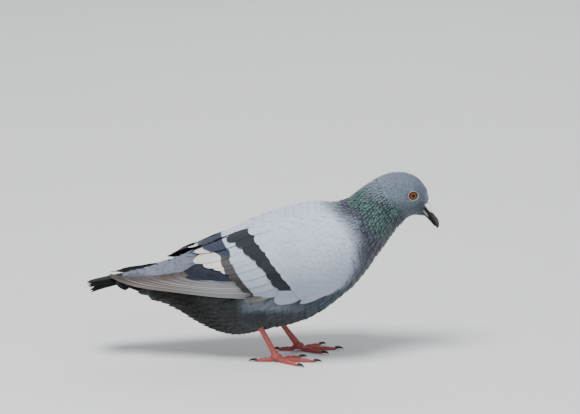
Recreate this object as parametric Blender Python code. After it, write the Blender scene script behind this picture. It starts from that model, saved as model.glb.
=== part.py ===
"""A life-size pigeon (Columba livia) walking with its head lowered, as one closed solid for each part.

Frame: metres, +X forward, +Y the bird's left, +Z up, floor at z = 0. The origin is moved at the end
to the middle of the footprint of the whole bird's box.

The body is one lofted form that runs from the tail to the forehead. Thin gaps part it into trunk,
neck and head. The folded wings are shells that lie on that form, and the tail is a roofed fan.
"""

import math

import bmesh
import bpy
import numpy as np
from mathutils import Vector

MM = 0.001

# Driving dimensions, in millimetres.
GAP = 0.4  # left between two parts that touch in life
BODY_SIDES = 24  # corners of a body section
RINGS_PER_STATION = 2

# Sections of the body from tail to forehead. Each lies in a plane across the bird, through its top
# and bottom points: top x, top z, bottom x, bottom z, half width, height of the widest place as a
# share of the section, and how full the lower half is (2 is an ellipse, less is keeled).
# The first two are the line of the tail, which only the folded wings follow.
BODY_STATIONS = (
    (-146.0, 72.5, -146.0, 60.5, 21.5, 0.50, 2.0),
    (-130.0, 75.6, -130.0, 59.0, 24.0, 0.52, 2.0),
    (-115.0, 79.2, -114.0, 57.0, 26.0, 0.53, 2.0),
    (-103.0, 81.4, -101.0, 54.0, 26.5, 0.55, 2.0),
    (-88.0, 86.6, -86.0, 49.6, 27.8, 0.56, 1.9),
    (-73.0, 92.2, -72.0, 41.4, 30.0, 0.56, 1.8),
    (-58.0, 99.2, -58.0, 32.2, 33.5, 0.56, 1.75),
    (-40.0, 108.4, -40.5, 23.0, 38.0, 0.56, 1.6),
    (-20.0, 118.2, -21.0, 18.9, 41.8, 0.55, 1.5),
    (0.0, 126.5, -1.0, 23.0, 44.2, 0.54, 1.5),
    (20.0, 133.4, 19.0, 27.9, 45.3, 0.53, 1.6),
    (38.0, 138.6, 39.0, 33.7, 45.0, 0.52, 1.8),
    (54.0, 141.5, 58.5, 45.5, 43.0, 0.51, 2.0),
    (66.0, 142.5, 75.0, 58.8, 39.5, 0.50, 2.0),
    (75.0, 144.6, 88.5, 72.6, 35.0, 0.50, 2.0),
    (82.0, 149.1, 100.0, 88.8, 30.0, 0.50, 2.0),
    (88.5, 154.2, 110.0, 103.1, 25.5, 0.50, 2.0),
    (95.5, 159.5, 119.0, 115.7, 21.5, 0.50, 2.0),
    (104.0, 165.0, 127.0, 124.9, 18.0, 0.50, 2.0),
    (113.0, 168.9, 132.8, 129.7, 15.6, 0.52, 2.0),
    (122.0, 170.2, 137.2, 130.9, 14.2, 0.54, 2.0),
    (130.5, 169.3, 140.6, 130.8, 13.3, 0.55, 2.0),
    (137.5, 166.5, 143.2, 130.4, 12.2, 0.54, 2.0),
    (143.2, 161.6, 145.4, 130.3, 10.4, 0.52, 2.0),
    (147.2, 154.9, 147.2, 130.9, 8.2, 0.48, 2.0),
    (149.4, 147.8, 148.6, 132.5, 5.8, 0.48, 2.0),
    (150.2, 143.1, 149.8, 135.4, 3.0, 0.50, 2.0),
)
UPPER_FULLNESS = 2.1  # exponent of the upper half of every section
TRUNK_START = 3.0  # stations, by row of the table, where the parts begin and end
NECK_START = 14.85
HEAD_START = 18.6

# Folded wing, in tables from the tail to the breast: station, angle of the lower and of the
# upper edge round the section (0 is the widest place, 90 the midline of the back), and thickness.
# The primaries reach back over the tail; coverts and secondaries lie over the flank. The inner
# feathers of the left wing stick out further back than those of the right one.
PRIMARY_ROWS = (
    (0.50, 68.0, 78.0, 1.0),
    (0.90, 54.0, 76.0, 1.4),
    (1.25, 40.0, 70.0, 1.8),
    (2.15, 17.0, 58.0, 2.4),
    (3.00, 6.0, 54.0, 3.0),
    (3.70, -1.0, 52.0, 3.4),
    (4.60, -8.0, 50.0, 4.0),
    (5.80, -11.0, 48.0, 4.6),
)
TERTIAL_ROWS = (
    (4.10, 58.0, 64.0, 1.0),
    (4.50, 54.0, 70.0, 2.6),
    (5.00, 52.5, 74.0, 3.8),
    (5.80, 50.5, 76.0, 4.8),
)
WING_ROWS = (
    (5.85, -11.0, 72.0, 5.0),
    (6.40, -13.0, 76.0, 5.4),
    (7.35, -17.0, 80.0, 5.2),
    (8.10, -21.0, 80.0, 4.6),
    (8.85, -24.0, 79.0, 4.6),
    (9.65, -31.0, 77.0, 5.2),
    (10.55, -33.0, 75.0, 5.8),
    (11.30, -34.0, 73.0, 6.6),
    (12.40, -39.0, 64.0, 7.4),
    (13.00, -40.0, 57.0, 7.4),
    (13.60, -37.0, 47.0, 6.6),
    (14.05, -30.0, 34.0, 5.4),
    (14.40, -21.0, 20.0, 4.0),
    (14.65, -8.0, 7.0, 2.0),
)
WING_CLEARANCE = 1.0  # between the inside of the wing and the body
WING_EDGE = 0.8  # thickness of the wing at its rim
WING_COLUMNS = 9
PRIMARY_COLUMNS = 6
TERTIAL_COLUMNS = 4

# Tail: x, half width, height of the top along the midline, drop of the top at the side, depth of
# the tail with its lower coverts along the midline.
TAIL_ROWS = (
    (-103.8, 22.0, 81.0, 7.5, 24.0),
    (-110.0, 22.0, 79.8, 7.0, 21.0),
    (-117.0, 21.6, 78.2, 6.4, 15.0),
    (-124.0, 21.2, 76.6, 5.8, 9.0),
    (-132.0, 20.8, 75.0, 4.8, 5.0),
    (-142.0, 20.6, 72.8, 3.2, 2.6),
    (-151.0, 20.5, 70.9, 2.4, 1.6),
    (-158.0, 20.3, 69.4, 2.0, 1.1),
)
TAIL_COLUMNS = 18
TAIL_CORNER = 6.0  # how far the outer tips lie in front of the middle ones
TAIL_SCALLOP = 1.6  # depth of the notches between the tips
TAIL_TIPS = 6

# Bill, in its own frame: the root point, its pitch below the horizon, then rows of distance along
# the bill, height of the lower and upper edge, and half width.
BILL_ROOT = (146.5, 0.0, 136.0)
BILL_PITCH = 53.0
UPPER_BILL_ROWS = (
    (-1.5, -0.4, 1.7, 4.6),
    (2.0, -0.4, 1.8, 3.9),
    (4.8, -0.5, 1.9, 3.3),
    (6.0, -0.5, 4.1, 2.8),
    (9.0, -0.7, 4.3, 2.4),
    (12.0, -0.9, 4.2, 2.1),
    (15.0, -1.0, 3.8, 1.8),
    (17.5, -1.1, 2.9, 1.5),
    (19.4, -1.2, 1.6, 1.0),
    (20.6, -1.1, 0.2, 0.5),
)
LOWER_BILL_ROWS = (
    (-0.5, -4.2, -0.8, 4.4),
    (4.0, -3.9, -0.9, 3.5),
    (8.0, -3.1, -1.1, 2.5),
    (12.0, -2.7, -1.3, 1.9),
    (15.5, -2.5, -1.4, 1.4),
    (18.0, -2.1, -1.5, 0.7),
)
CERE_ROWS = (
    (-4.0, 2.5, 4.6, 2.2),
    (-2.6, 2.6, 5.3, 3.6),
    (0.0, 2.7, 5.9, 4.2),
    (2.4, 2.8, 5.7, 3.7),
    (4.2, 3.0, 5.0, 2.6),
    (4.9, 3.2, 4.2, 1.4),
)
BILL_SIDES = 12

EYE_CENTRE = (135.6, 8.4, 151.0)
EYE_RADIUS = 5.4

# Legs: place of the ankle and of the palm, one leg a step ahead of the other.
LEG_SIDE = 21.0
RIGHT_ANKLE = (-5.0, 38.0)
RIGHT_PALM = (13.0, 4.6)
LEFT_ANKLE = (8.0, 38.5)
LEFT_PALM = (33.0, 4.6)
SHANK_RADII = ((3.7, 3.3), (2.7, 2.2), (2.5, 2.1), (2.8, 2.6), (3.4, 3.6))
THIGH_RADII = (12.5, 11.0, 16.0)
THIGH_RISE = 8.5  # of the thigh's middle above the ankle
THIGH_BACK = 1.0
PALM_RADII = (5.4, 4.8, 3.6)

# Toes: name, heading from straight ahead towards the outer side, length, half width, and distance
# of the root from the middle of the palm.
TOES = (
    ("inner", -36.0, 19.0, 2.1, 6.0),
    ("middle", 0.0, 28.0, 2.2, 6.1),
    ("outer", 38.0, 21.0, 2.1, 6.0),
    ("hind", 174.0, 12.0, 2.0, 6.1),
)
TOE_HEIGHT = 4.3
CLAW_LENGTH = 7.0
CLAW_RADIUS = 1.35
FOOT_TURN = 5.0  # how far each foot points outwards

COLOURS = {
    "trunk": (0.17, 0.20, 0.24),
    "neck": (0.08, 0.16, 0.15),
    "head": (0.19, 0.24, 0.30),
    "wing": (0.46, 0.50, 0.57),
    "primaries": (0.22, 0.21, 0.21),
    "tail": (0.06, 0.065, 0.08),
    "thigh": (0.09, 0.10, 0.11),
    "leg_skin": (0.42, 0.09, 0.07),
    "claw": (0.03, 0.025, 0.025),
    "bill_horn": (0.03, 0.03, 0.032),
    "cere": (0.78, 0.78, 0.76),
    "eye": (0.60, 0.16, 0.03),
}


def clear_scene():
    for old in list(bpy.data.objects):
        bpy.data.objects.remove(old)


def material(name, roughness=0.6):
    found = bpy.data.materials.get(name)
    if found:
        return found
    made = bpy.data.materials.new(name)
    made.use_nodes = True
    shader = made.node_tree.nodes["Principled BSDF"]
    shader.inputs["Base Color"].default_value = (*COLOURS[name], 1.0)
    shader.inputs["Roughness"].default_value = roughness
    shader.inputs["Metallic"].default_value = 0.0
    return made


def add_object(name, points, faces, look):
    """A smooth mesh object from points in millimetres, with its faces turned outwards."""
    mesh = bpy.data.meshes.new(name)
    mesh.from_pydata([Vector(point) * MM for point in points], [], faces)
    work = bmesh.new()
    work.from_mesh(mesh)
    bmesh.ops.recalc_face_normals(work, faces=work.faces)
    work.to_mesh(mesh)
    work.free()
    mesh.shade_smooth()
    mesh.set_sharp_from_angle(angle=math.radians(50))
    mesh.materials.append(material(look))
    made = bpy.data.objects.new(name, mesh)
    bpy.context.scene.collection.objects.link(made)
    return made


def loft(name, rings, look):
    """A closed tube through rings of equally many points, with a flat face over each end."""
    sides = len(rings[0])
    points = [point for ring in rings for point in ring]
    faces = []
    for row in range(len(rings) - 1):
        for side in range(sides):
            after = (side + 1) % sides
            here, there = row * sides, (row + 1) * sides
            faces.append((here + side, here + after, there + after, there + side))
    last = (len(rings) - 1) * sides
    faces.append(tuple(range(sides)))
    faces.append(tuple(last + side for side in reversed(range(sides))))
    return add_object(name, points, faces, look)


def slab(name, outer, inner, look):
    """A closed shell between two grids of points, joined round their rim."""
    rows, columns = len(outer), len(outer[0])
    points = [point for grid in (outer, inner) for row in grid for point in row]
    size = rows * columns
    faces = []
    for row in range(rows - 1):
        for column in range(columns - 1):
            a = row * columns + column
            quad = (a, a + 1, a + columns + 1, a + columns)
            faces.append(quad)
            faces.append(tuple(size + corner for corner in reversed(quad)))
    rim = [(0, column) for column in range(columns)]
    rim += [(row, columns - 1) for row in range(1, rows)]
    rim += [(rows - 1, column) for column in range(columns - 2, -1, -1)]
    rim += [(row, 0) for row in range(rows - 2, 0, -1)]
    for place, (row, column) in enumerate(rim):
        next_row, next_column = rim[(place + 1) % len(rim)]
        a, b = row * columns + column, next_row * columns + next_column
        faces.append((a, size + a, size + b, b))
    return add_object(name, points, faces, look)


def cut(target, cutter):
    """Takes the cutter's shape out of the target. The cutter stays as a hidden helper."""
    cutter.hide_render = True
    cutter.display_type = "WIRE"
    modifier = target.modifiers.new("cut_" + cutter.name, "BOOLEAN")
    modifier.operation = "DIFFERENCE"
    modifier.solver = "EXACT"
    modifier.object = cutter


def join(target, other):
    """Makes the other shape one body with the target. The other stays as a hidden helper."""
    other.hide_render = True
    other.display_type = "WIRE"
    modifier = target.modifiers.new("join_" + other.name, "BOOLEAN")
    modifier.operation = "UNION"
    modifier.solver = "EXACT"
    modifier.object = other


def between(rows, place):
    """The row at a fractional place in a table, on a smooth curve through the rows."""
    table = np.array(rows, dtype=float)
    first = min(max(int(math.floor(place)), 0), len(table) - 2)
    t = place - first
    p1, p2 = table[first], table[first + 1]
    p0 = table[first - 1] if first > 0 else 2 * p1 - p2
    p3 = table[first + 2] if first + 2 < len(table) else 2 * p2 - p1
    slope_in, slope_out = (p2 - p0) / 2, (p3 - p1) / 2
    return (
        (2 * t**3 - 3 * t**2 + 1) * p1
        + (t**3 - 2 * t**2 + t) * slope_in
        + (3 * t**2 - 2 * t**3) * p2
        + (t**3 - t**2) * slope_out
    )


def power(value, exponent):
    return math.copysign(abs(value) ** exponent, value)


def body_point(station, degrees, grow=0.0):
    """A point on the body's surface, or grow millimetres outside its section."""
    top_x, top_z, low_x, low_z, half_width, level, fullness = between(BODY_STATIONS, station)
    top, low = Vector((top_x, 0.0, top_z)), Vector((low_x, 0.0, low_z))
    middle = low.lerp(top, level)
    up = (top - low).normalized()
    angle = math.radians(degrees)
    if math.sin(angle) >= 0:
        reach, exponent = (top - middle).length, 2 / UPPER_FULLNESS
    else:
        reach, exponent = (middle - low).length, 2 / fullness
    side = (half_width + grow) * power(math.cos(angle), exponent)
    rise = (reach + grow) * power(math.sin(angle), exponent)
    return middle + up * rise + Vector((0.0, side, 0.0))


def body_normal(station, degrees):
    """The outward direction of the body's surface on its left side."""
    step = 0.02
    along = body_point(station + step, degrees) - body_point(station - step, degrees)
    around = body_point(station, degrees + 1.0) - body_point(station, degrees - 1.0)
    return around.cross(along).normalized()


def body_piece(name, start, end, look, grow=0.0):
    count = max(2, round((end - start) * RINGS_PER_STATION) + 1)
    angles = [360.0 * side / BODY_SIDES for side in range(BODY_SIDES)]
    rings = [
        [body_point(station, degrees, grow) for degrees in angles]
        for station in np.linspace(start, end, count)
    ]
    return loft(name, rings, look)


def station_gap(station):
    """The part of a station that spans half the gap between two body pieces."""
    span = (body_point(station + 0.5, 270.0) - body_point(station - 0.5, 270.0)).length
    back = (body_point(station + 0.5, 90.0) - body_point(station - 0.5, 90.0)).length
    return GAP / 2 / min(span, back)


def wing_shell(name, side, rows, columns, look):
    """One side's feathers between two stations, as a shell that lies over the body."""
    stations = [row[0] for row in rows]
    stations += range(math.ceil(stations[0]), math.ceil(stations[-1]))
    outer, inner = [], []
    for station in sorted(set(stations)):
        low, top, thickness = (
            np.interp(station, [row[0] for row in rows], [row[k] for row in rows]) for k in (1, 2, 3)
        )
        outer_row, inner_row = [], []
        for v in np.linspace(0.0, 1.0, columns):
            degrees = low + (top - low) * v
            swell = 1 - abs(2 * v - 1) ** 3
            depth = WING_EDGE + (thickness - WING_EDGE) * swell
            root, normal = body_point(station, degrees), body_normal(station, degrees)
            for row, height in ((inner_row, WING_CLEARANCE), (outer_row, WING_CLEARANCE + depth)):
                point = root + normal * height
                row.append(Vector((point.x, side * point.y, point.z)))
        outer.append(outer_row)
        inner.append(inner_row)
    return slab(name, outer, inner, look)


def tail():
    """A roofed fan of folded feathers over thick lower coverts."""
    upper, lower = [], []
    for number, (x, half_width, top, drop, depth) in enumerate(TAIL_ROWS):
        share = number / (len(TAIL_ROWS) - 1)
        upper_row, lower_row = [], []
        for column in range(TAIL_COLUMNS + 1):
            v = 2 * column / TAIL_COLUMNS - 1
            tip = TAIL_CORNER * v**2 + TAIL_SCALLOP * (1 - abs(math.sin(math.pi * v * TAIL_TIPS / 2)))
            shift = tip * share**3
            z = top - drop * v**2
            thick = max(depth * (1 - 0.96 * v**2), 1.0)
            upper_row.append(Vector((x + shift, half_width * v, z)))
            lower_row.append(Vector((x + shift, half_width * v, z - thick)))
        upper.append(upper_row)
        lower.append(lower_row)
    return slab("tail", upper, lower, "tail")


def bill_frame(along, side, height):
    pitch = math.radians(BILL_PITCH)
    forward = Vector((math.cos(pitch), 0.0, -math.sin(pitch)))
    up = Vector((math.sin(pitch), 0.0, math.cos(pitch)))
    return Vector(BILL_ROOT) + forward * along + up * height + Vector((0.0, side, 0.0))


def bill_piece(name, rows, look):
    rings = []
    for along, low, high, half_width in rows:
        ring = []
        for corner in range(BILL_SIDES):
            angle = 2 * math.pi * corner / BILL_SIDES
            side = half_width * power(math.cos(angle), 0.8)
            height = (low + high) / 2 + (high - low) / 2 * power(math.sin(angle), 0.8)
            ring.append(bill_frame(along, side, height))
        rings.append(ring)
    return loft(name, rings, look)


def ball(name, centre, radii, look, sides=14, rows=8):
    """An ellipsoid with its poles closed by small caps."""
    rings = []
    for row in range(rows):
        polar = math.pi * (row + 0.5) / rows
        ring = []
        for corner in range(sides):
            angle = 2 * math.pi * corner / sides
            ring.append(
                Vector(
                    (
                        centre[0] + radii[0] * math.sin(polar) * math.cos(angle),
                        centre[1] + radii[1] * math.sin(polar) * math.sin(angle),
                        centre[2] + radii[2] * math.cos(polar) / math.cos(math.pi / 2 / rows),
                    )
                )
            )
        rings.append(ring)
    return loft(name, rings, look)


def eye(head, name, side):
    centre = (EYE_CENTRE[0], side * EYE_CENTRE[1], EYE_CENTRE[2])
    ball(name, centre, (EYE_RADIUS,) * 3, "eye")
    socket = ball("socket_" + name, centre, (EYE_RADIUS + GAP,) * 3, "eye")
    cut(head, socket)


def shank_rings(ankle, palm, grow, sides=10):
    """Rings of the bare leg from the ankle joint down to the palm, where it turns level."""
    ankle, palm = Vector(ankle), Vector(palm)
    down = (palm - ankle).normalized()
    across = Vector((0.0, 1.0, 0.0))
    fore = down.cross(across).normalized()
    rings = []
    for place in np.linspace(0, len(SHANK_RADII) - 1, 8):
        deep, wide = between(SHANK_RADII, place)
        middle = ankle.lerp(palm, place / (len(SHANK_RADII) - 1))
        rings.append(
            [
                middle
                + fore * (deep + grow) * math.cos(2 * math.pi * corner / sides)
                + across * (wide + grow) * math.sin(2 * math.pi * corner / sides)
                for corner in range(sides)
            ]
        )
    return rings


def foot_frame(palm, turn, along, side, height):
    """A point seen from the palm: along the toe's heading, across it and up from the floor."""
    angle = math.radians(turn)
    x = palm[0] + along * math.cos(angle) - side * math.sin(angle)
    y = palm[1] + along * math.sin(angle) + side * math.cos(angle)
    return Vector((x, y, height))


def toe(name, palm, turn, root, length, half_width, sides=10):
    """A toe that lies on the floor, with a flat sole and three soft pads."""
    rings = []
    for step in range(7):
        t = step / 6
        pad = 1 + 0.06 * math.cos(6 * math.pi * t)
        close = 0.55 + 0.45 * min(1.0, 4 * min(t, 1 - t) + 0.25)
        width = half_width * (1 - 0.25 * t) * pad * close
        tall = TOE_HEIGHT * (1 - 0.3 * t) * pad * close
        ring = []
        for corner in range(sides):
            angle = 2 * math.pi * (corner + 0.5) / sides
            height = tall * (0.42 + 0.58 * math.sin(angle))
            ring.append(
                foot_frame(palm, turn, root + length * t, width * math.cos(angle), max(height, 0.0))
            )
        rings.append(ring)
    return loft(name, rings, "leg_skin")


def claw(name, palm, turn, start, sides=6):
    """A curved claw that goes on from the toe's end and stops just above the floor."""
    rings = []
    for step in range(5):
        t = step / 4
        radius = CLAW_RADIUS * (1 - t) ** 0.8 + 0.3
        along = start + CLAW_LENGTH * math.sin(1.25 * t) / math.sin(1.25)
        height = 1.95 + 0.5 * math.sin(math.pi * t) - 1.3 * t**2
        rings.append(
            [
                foot_frame(
                    palm,
                    turn,
                    along,
                    0.75 * radius * math.cos(2 * math.pi * corner / sides),
                    height + radius * math.sin(2 * math.pi * corner / sides),
                )
                for corner in range(sides)
            ]
        )
    return loft(name, rings, "claw")


def leg(trunk, name, side, ankle_xz, palm_xz):
    """One leg: feathered thigh, bare shank, four toes and their claws."""
    ankle = (ankle_xz[0], side * LEG_SIDE, ankle_xz[1])
    palm = (palm_xz[0], side * LEG_SIDE, palm_xz[1])
    middle = (ankle[0] - THIGH_BACK, ankle[1], ankle[2] + THIGH_RISE)
    thigh = ball("thigh_" + name, middle, THIGH_RADII, "thigh", sides=14, rows=8)
    room = [radius + GAP for radius in THIGH_RADII]
    cut(trunk, ball("room_thigh_" + name, middle, room, "thigh", sides=14, rows=8))

    shank = loft("shank_" + name, shank_rings(ankle, palm, 0.0), "leg_skin")
    join(shank, ball("palm_" + name, palm, PALM_RADII, "leg_skin", sides=10, rows=7))
    cut(thigh, loft("sleeve_" + name, shank_rings(ankle, palm, GAP), "leg_skin"))
    for toe_name, heading, length, half_width, root in TOES:
        turn = side * (heading + FOOT_TURN)
        ending = f"{name}_{toe_name}"
        toe("toe_" + ending, palm, turn, root, length, half_width)
        claw("claw_" + ending, palm, turn, root + length + GAP)


def settle():
    """Moves the bird so that the middle of its footprint is over the origin, soles on the floor."""
    bpy.context.view_layer.update()
    visible = [piece for piece in bpy.data.objects if not piece.hide_render]
    corners = [Vector(corner) for piece in visible for corner in piece.bound_box]
    low = [min(corner[k] for corner in corners) for k in range(3)]
    high = [max(corner[k] for corner in corners) for k in range(3)]
    shift = Vector((-(low[0] + high[0]) / 2, -(low[1] + high[1]) / 2, -low[2]))
    for piece in bpy.data.objects:
        piece.location = shift


def build():
    clear_scene()
    trunk_end = NECK_START - station_gap(NECK_START)
    neck_start = NECK_START + station_gap(NECK_START)
    neck_end = HEAD_START - station_gap(HEAD_START)
    head_start = HEAD_START + station_gap(HEAD_START)
    last = len(BODY_STATIONS) - 1
    trunk = body_piece("trunk", TRUNK_START, trunk_end, "trunk")
    body_piece("neck", neck_start, neck_end, "neck")
    head = body_piece("head", head_start, last, "head")
    tail()
    for name, side in (("left", 1), ("right", -1)):
        wing_shell("wing_" + name, side, WING_ROWS, WING_COLUMNS, "wing")
        wing_shell("primaries_" + name, side, PRIMARY_ROWS, PRIMARY_COLUMNS, "primaries")
        eye(head, "eye_" + name, side)
    wing_shell("tertials_left", 1, TERTIAL_ROWS, TERTIAL_COLUMNS, "wing")
    leg(trunk, "left", 1, LEFT_ANKLE, LEFT_PALM)
    leg(trunk, "right", -1, RIGHT_ANKLE, RIGHT_PALM)
    room = body_piece("room_head", head_start, last, "head", grow=GAP)
    for piece in (
        bill_piece("bill_upper", UPPER_BILL_ROWS, "bill_horn"),
        bill_piece("bill_lower", LOWER_BILL_ROWS, "bill_horn"),
        bill_piece("cere", CERE_ROWS, "cere"),
    ):
        cut(piece, room)
    settle()


build()
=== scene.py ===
"""The looks of the life-size pigeon: skin, feathers, bill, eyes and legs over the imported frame.

Lengths are in millimetres in the frame's own axes, and turn into metres where a mesh is made.
The bird faces +X and its left side is +Y. The feathers lie on forms: surfaces that rays read from
the solids, as sections across the bird with a row for each step along the back and an angle round
each section (0 is the bird's left, 90 its back, 180 its right, 270 its belly).
"""

import math

import bpy
import numpy as np
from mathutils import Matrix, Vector
from mathutils.bvhtree import BVHTree


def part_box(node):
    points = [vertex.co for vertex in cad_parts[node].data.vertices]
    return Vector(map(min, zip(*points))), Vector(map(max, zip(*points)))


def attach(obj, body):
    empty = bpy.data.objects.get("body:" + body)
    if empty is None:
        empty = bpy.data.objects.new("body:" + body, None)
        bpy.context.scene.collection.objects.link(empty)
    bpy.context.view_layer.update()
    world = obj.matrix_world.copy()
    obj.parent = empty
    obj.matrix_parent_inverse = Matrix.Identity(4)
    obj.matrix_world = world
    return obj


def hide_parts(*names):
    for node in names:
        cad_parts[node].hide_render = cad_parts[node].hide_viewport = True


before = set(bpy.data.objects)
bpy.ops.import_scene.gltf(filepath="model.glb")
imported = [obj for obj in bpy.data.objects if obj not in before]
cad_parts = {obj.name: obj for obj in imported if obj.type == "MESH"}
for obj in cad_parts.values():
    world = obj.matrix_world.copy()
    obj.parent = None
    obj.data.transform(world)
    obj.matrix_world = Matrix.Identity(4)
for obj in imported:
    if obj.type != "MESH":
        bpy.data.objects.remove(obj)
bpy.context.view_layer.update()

MM = 0.001
SIDES = {"left": 1, "right": -1}
rng = np.random.default_rng(7)

# Where each section meets the midline of the back and of the belly, as x: upright along the
# trunk, leaning with the neck, and upright again at the face.
SECTION_GUIDE = (
    (-156.0, -156.0), (37.0, 38.0), (53.0, 57.6), (65.0, 74.0), (74.0, 87.6), (87.5, 109.0),
    (103.0, 126.0), (121.0, 136.3), (136.6, 142.3), (146.3, 146.3), (148.6, 148.4),
)
ROW_STEP = 1.5  # between sections, along the back
TURN_STEP = 2.5  # degrees between rays round a section
RAY_REACH = 95.0
DOWN = Vector((0, 0, -1))
FACE_START = 129.0
# Half width of the face at each x, where it draws in towards the bill.
FACE_WIDTH = (
    (FACE_START, 60.0), (133.0, 40.0), (138.0, 11.0), (141.0, 6.8), (143.2, 4.2), (145.2, 2.7), (148.0, 2.2)
)


def linear(hex_colour):
    """An sRGB hex value as a linear colour."""
    parts = np.array([int(hex_colour[k : k + 2], 16) / 255 for k in (1, 3, 5)])
    return np.where(parts <= 0.04045, parts / 12.92, ((parts + 0.055) / 1.055) ** 2.4)


# Painted light on the pale grey: brighter and bluer on top as if lit from the sky, darker lower down.
PALE_GREY = linear("#ccd6ea")  # wing shield, scapulars and mantle
SHADED_LOWER_GREY = linear("#a2abb9")  # lower part of the shield
# The upper breast's blue-grey, used also as painted shade on the shield's rounded front margin.
BREAST_AND_SHADE_GREY = linear("#78828f")  # margin of the shield, upper breast
# Painted shade below the body: breast, belly and vent darkened, and a near black painted shadow under the
# tail over the coverts' slate.
SHADED_BREAST_SLATE = linear("#36434f")
FLANK_GREY = linear("#69737b")
SHADED_BELLY_SLATE = linear("#363b40")
SHADED_VENT_SLATE = linear("#2a2d2e")
UNDERTAIL_SHADOW = linear("#050505")
RUMP_GREY = linear("#747b8b")
HEAD_GREY = linear("#7f8b9c")
CHEEK_GREY = linear("#606973")
NECK_GREEN = linear("#5a7c75")
NECK_TEAL = linear("#4b6769")
NECK_PURPLE = linear("#47455c")
THROAT_SLATE = linear("#49525c")
# Dark feather bases, used also as painted shade in the gaps between the feathers.
DARK_ROOT_AND_SHADE = linear("#1c2428")
BAR_BLACK = linear("#282b32")
BAR_SLATE = linear("#303849")
BAR_BROWN = linear("#4e4c4e")
TIP_CREAM = linear("#dcdad6")
COVERT_LINE = linear("#6c747e")  # darker grey at the coverts' sides
QUILL_BROWN = linear("#7b7370")
QUILL_GREY = linear("#96969c")
QUILL_EDGE = linear("#cfcbc3")
TAIL_BLACK = linear("#060607")
TAIL_GREY = linear("#6c7383")
UNMARKED = -9.0  # a depth far outside a marking


def mix(first, second, share):
    share = np.asarray(share)[..., None]
    return first * (1 - share) + second * share


def ramp(value, start, end):
    """0 at start, 1 at end, with soft ends."""
    t = np.clip((value - start) / (end - start), 0, 1)
    return t * t * (3 - 2 * t)


def across(line, place):
    """The second value of a line of pairs, where the first has this value."""
    return np.interp(place, *np.transpose(line))


def unit(vectors):
    return vectors / np.linalg.norm(vectors, axis=-1, keepdims=True)


def square_to(way, vectors):
    """The vectors without what they have along the way."""
    return vectors - way * (vectors * way).sum(-1, keepdims=True)


def run_of(points):
    """How far along a polyline each of its points lies."""
    return np.concatenate([[0], np.cumsum(np.linalg.norm(np.diff(points, axis=0), axis=1))])


def resample(line, run, places):
    """Points of a polyline in side view, where its run has these values."""
    return np.stack([np.interp(places, run, line[:, k]) for k in (0, 1)], -1)


def values_of(items, key, width, kind=np.float32):
    """One property of a mesh's vertices, triangles or loops, as rows of numbers."""
    values = np.empty(len(items) * width, kind)
    items.foreach_get(key, values)
    return values.reshape(-1, width)


def node_box(name):
    """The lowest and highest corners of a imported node, in millimetres."""
    return [np.array(corner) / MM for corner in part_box(name)]


def add_object(name, data):
    made = bpy.data.objects.new(name, data)
    bpy.context.scene.collection.objects.link(made)
    return made


# Forms: what the feathers lie on


def solid_tree(*names):
    """A ray tree of the named solids, in millimetres."""
    points, faces, count = [], [], 0
    for name in names:
        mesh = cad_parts[name].data
        mesh.calc_loop_triangles()
        points.append(values_of(mesh.vertices, "co", 3) / MM)
        faces.append(values_of(mesh.loop_triangles, "vertices", 3, np.int32) + count)
        count += len(points[-1])
    return BVHTree.FromPolygons(np.concatenate(points).tolist(), np.concatenate(faces).tolist())


def blur(values, width, axis, wrap=False):
    """Gaussian smoothing along one axis; width in cells."""
    reach = int(3 * width) + 1
    weights = np.exp(-0.5 * (np.arange(-reach, reach + 1) / width) ** 2)
    weights /= weights.sum()
    pads = [(0, 0)] * values.ndim
    pads[axis] = (reach, reach)
    padded = np.pad(values, pads, mode="wrap" if wrap else "edge")
    size = values.shape[axis]
    return sum(np.take(padded, range(k, k + size), axis) * w for k, w in enumerate(weights))


def fill_gaps(values, axis):
    """Missing numbers take a value between their neighbours along the axis."""
    lines = np.moveaxis(values, axis, 0)
    flat = lines.reshape(lines.shape[0], -1)
    places = np.arange(len(flat))
    for column in flat.T:
        known = ~np.isnan(column)
        if known.any() and not known.all():
            column[~known] = np.interp(places[~known], places[known], column[known])
    return np.moveaxis(flat.reshape(lines.shape), 0, axis)


def section_lines():
    """Middle, upward direction and top x of each section, a step apart along the back."""
    core = solid_tree("trunk", "neck", "head", "tail")
    fine = np.arange(SECTION_GUIDE[0][0], SECTION_GUIDE[-1][0], 0.25)
    low_x = across(SECTION_GUIDE, fine)
    top = [core.ray_cast(Vector((x, 0, 300)), DOWN)[0] for x in fine]
    low = [core.ray_cast(Vector((x, 0, -50)), -DOWN)[0] for x in low_x]
    heights = np.array([[p.z if p else np.nan for p in line] for line in (top, low)])
    # A ray that slips into the gap between two solids gives a height far from its neighbours'.
    for line, best in zip(heights, (np.nanmax, np.nanmin)):
        line[:] = [best(line[max(k - 3, 0) : k + 4]) for k in range(len(line))]
    heights = blur(heights, 6, 1)
    top = np.stack([fine, heights[0]], 1)
    low = np.stack([low_x, heights[1]], 1)
    along = run_of(top)
    rows = np.arange(0, along[-1], ROW_STEP)
    top, low = resample(top, along, rows), resample(low, along, rows)
    return low * 0.48 + top * 0.52, unit(top - low), top[:, 0]


SECTION_MIDDLES, SECTION_UPS, SECTION_TOPS = section_lines()
TURNS = np.arange(0, 360, TURN_STEP)


def reach_of(*names):
    """How far the named solids reach out of each section's middle, or nan where a ray misses."""
    tree = solid_tree(*names)
    reach = np.full((len(SECTION_TOPS), len(TURNS)), np.nan)
    for row, (middle, up) in enumerate(zip(SECTION_MIDDLES, SECTION_UPS)):
        for column, turn in enumerate(np.radians(TURNS)):
            out = Vector((up[0] * math.sin(turn), math.cos(turn), up[1] * math.sin(turn)))
            start = Vector((middle[0], 0, middle[1])) + out * RAY_REACH
            hit = tree.ray_cast(start, -out, RAY_REACH)
            if hit[0]:
                reach[row, column] = RAY_REACH - hit[3]
    return reach


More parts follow.
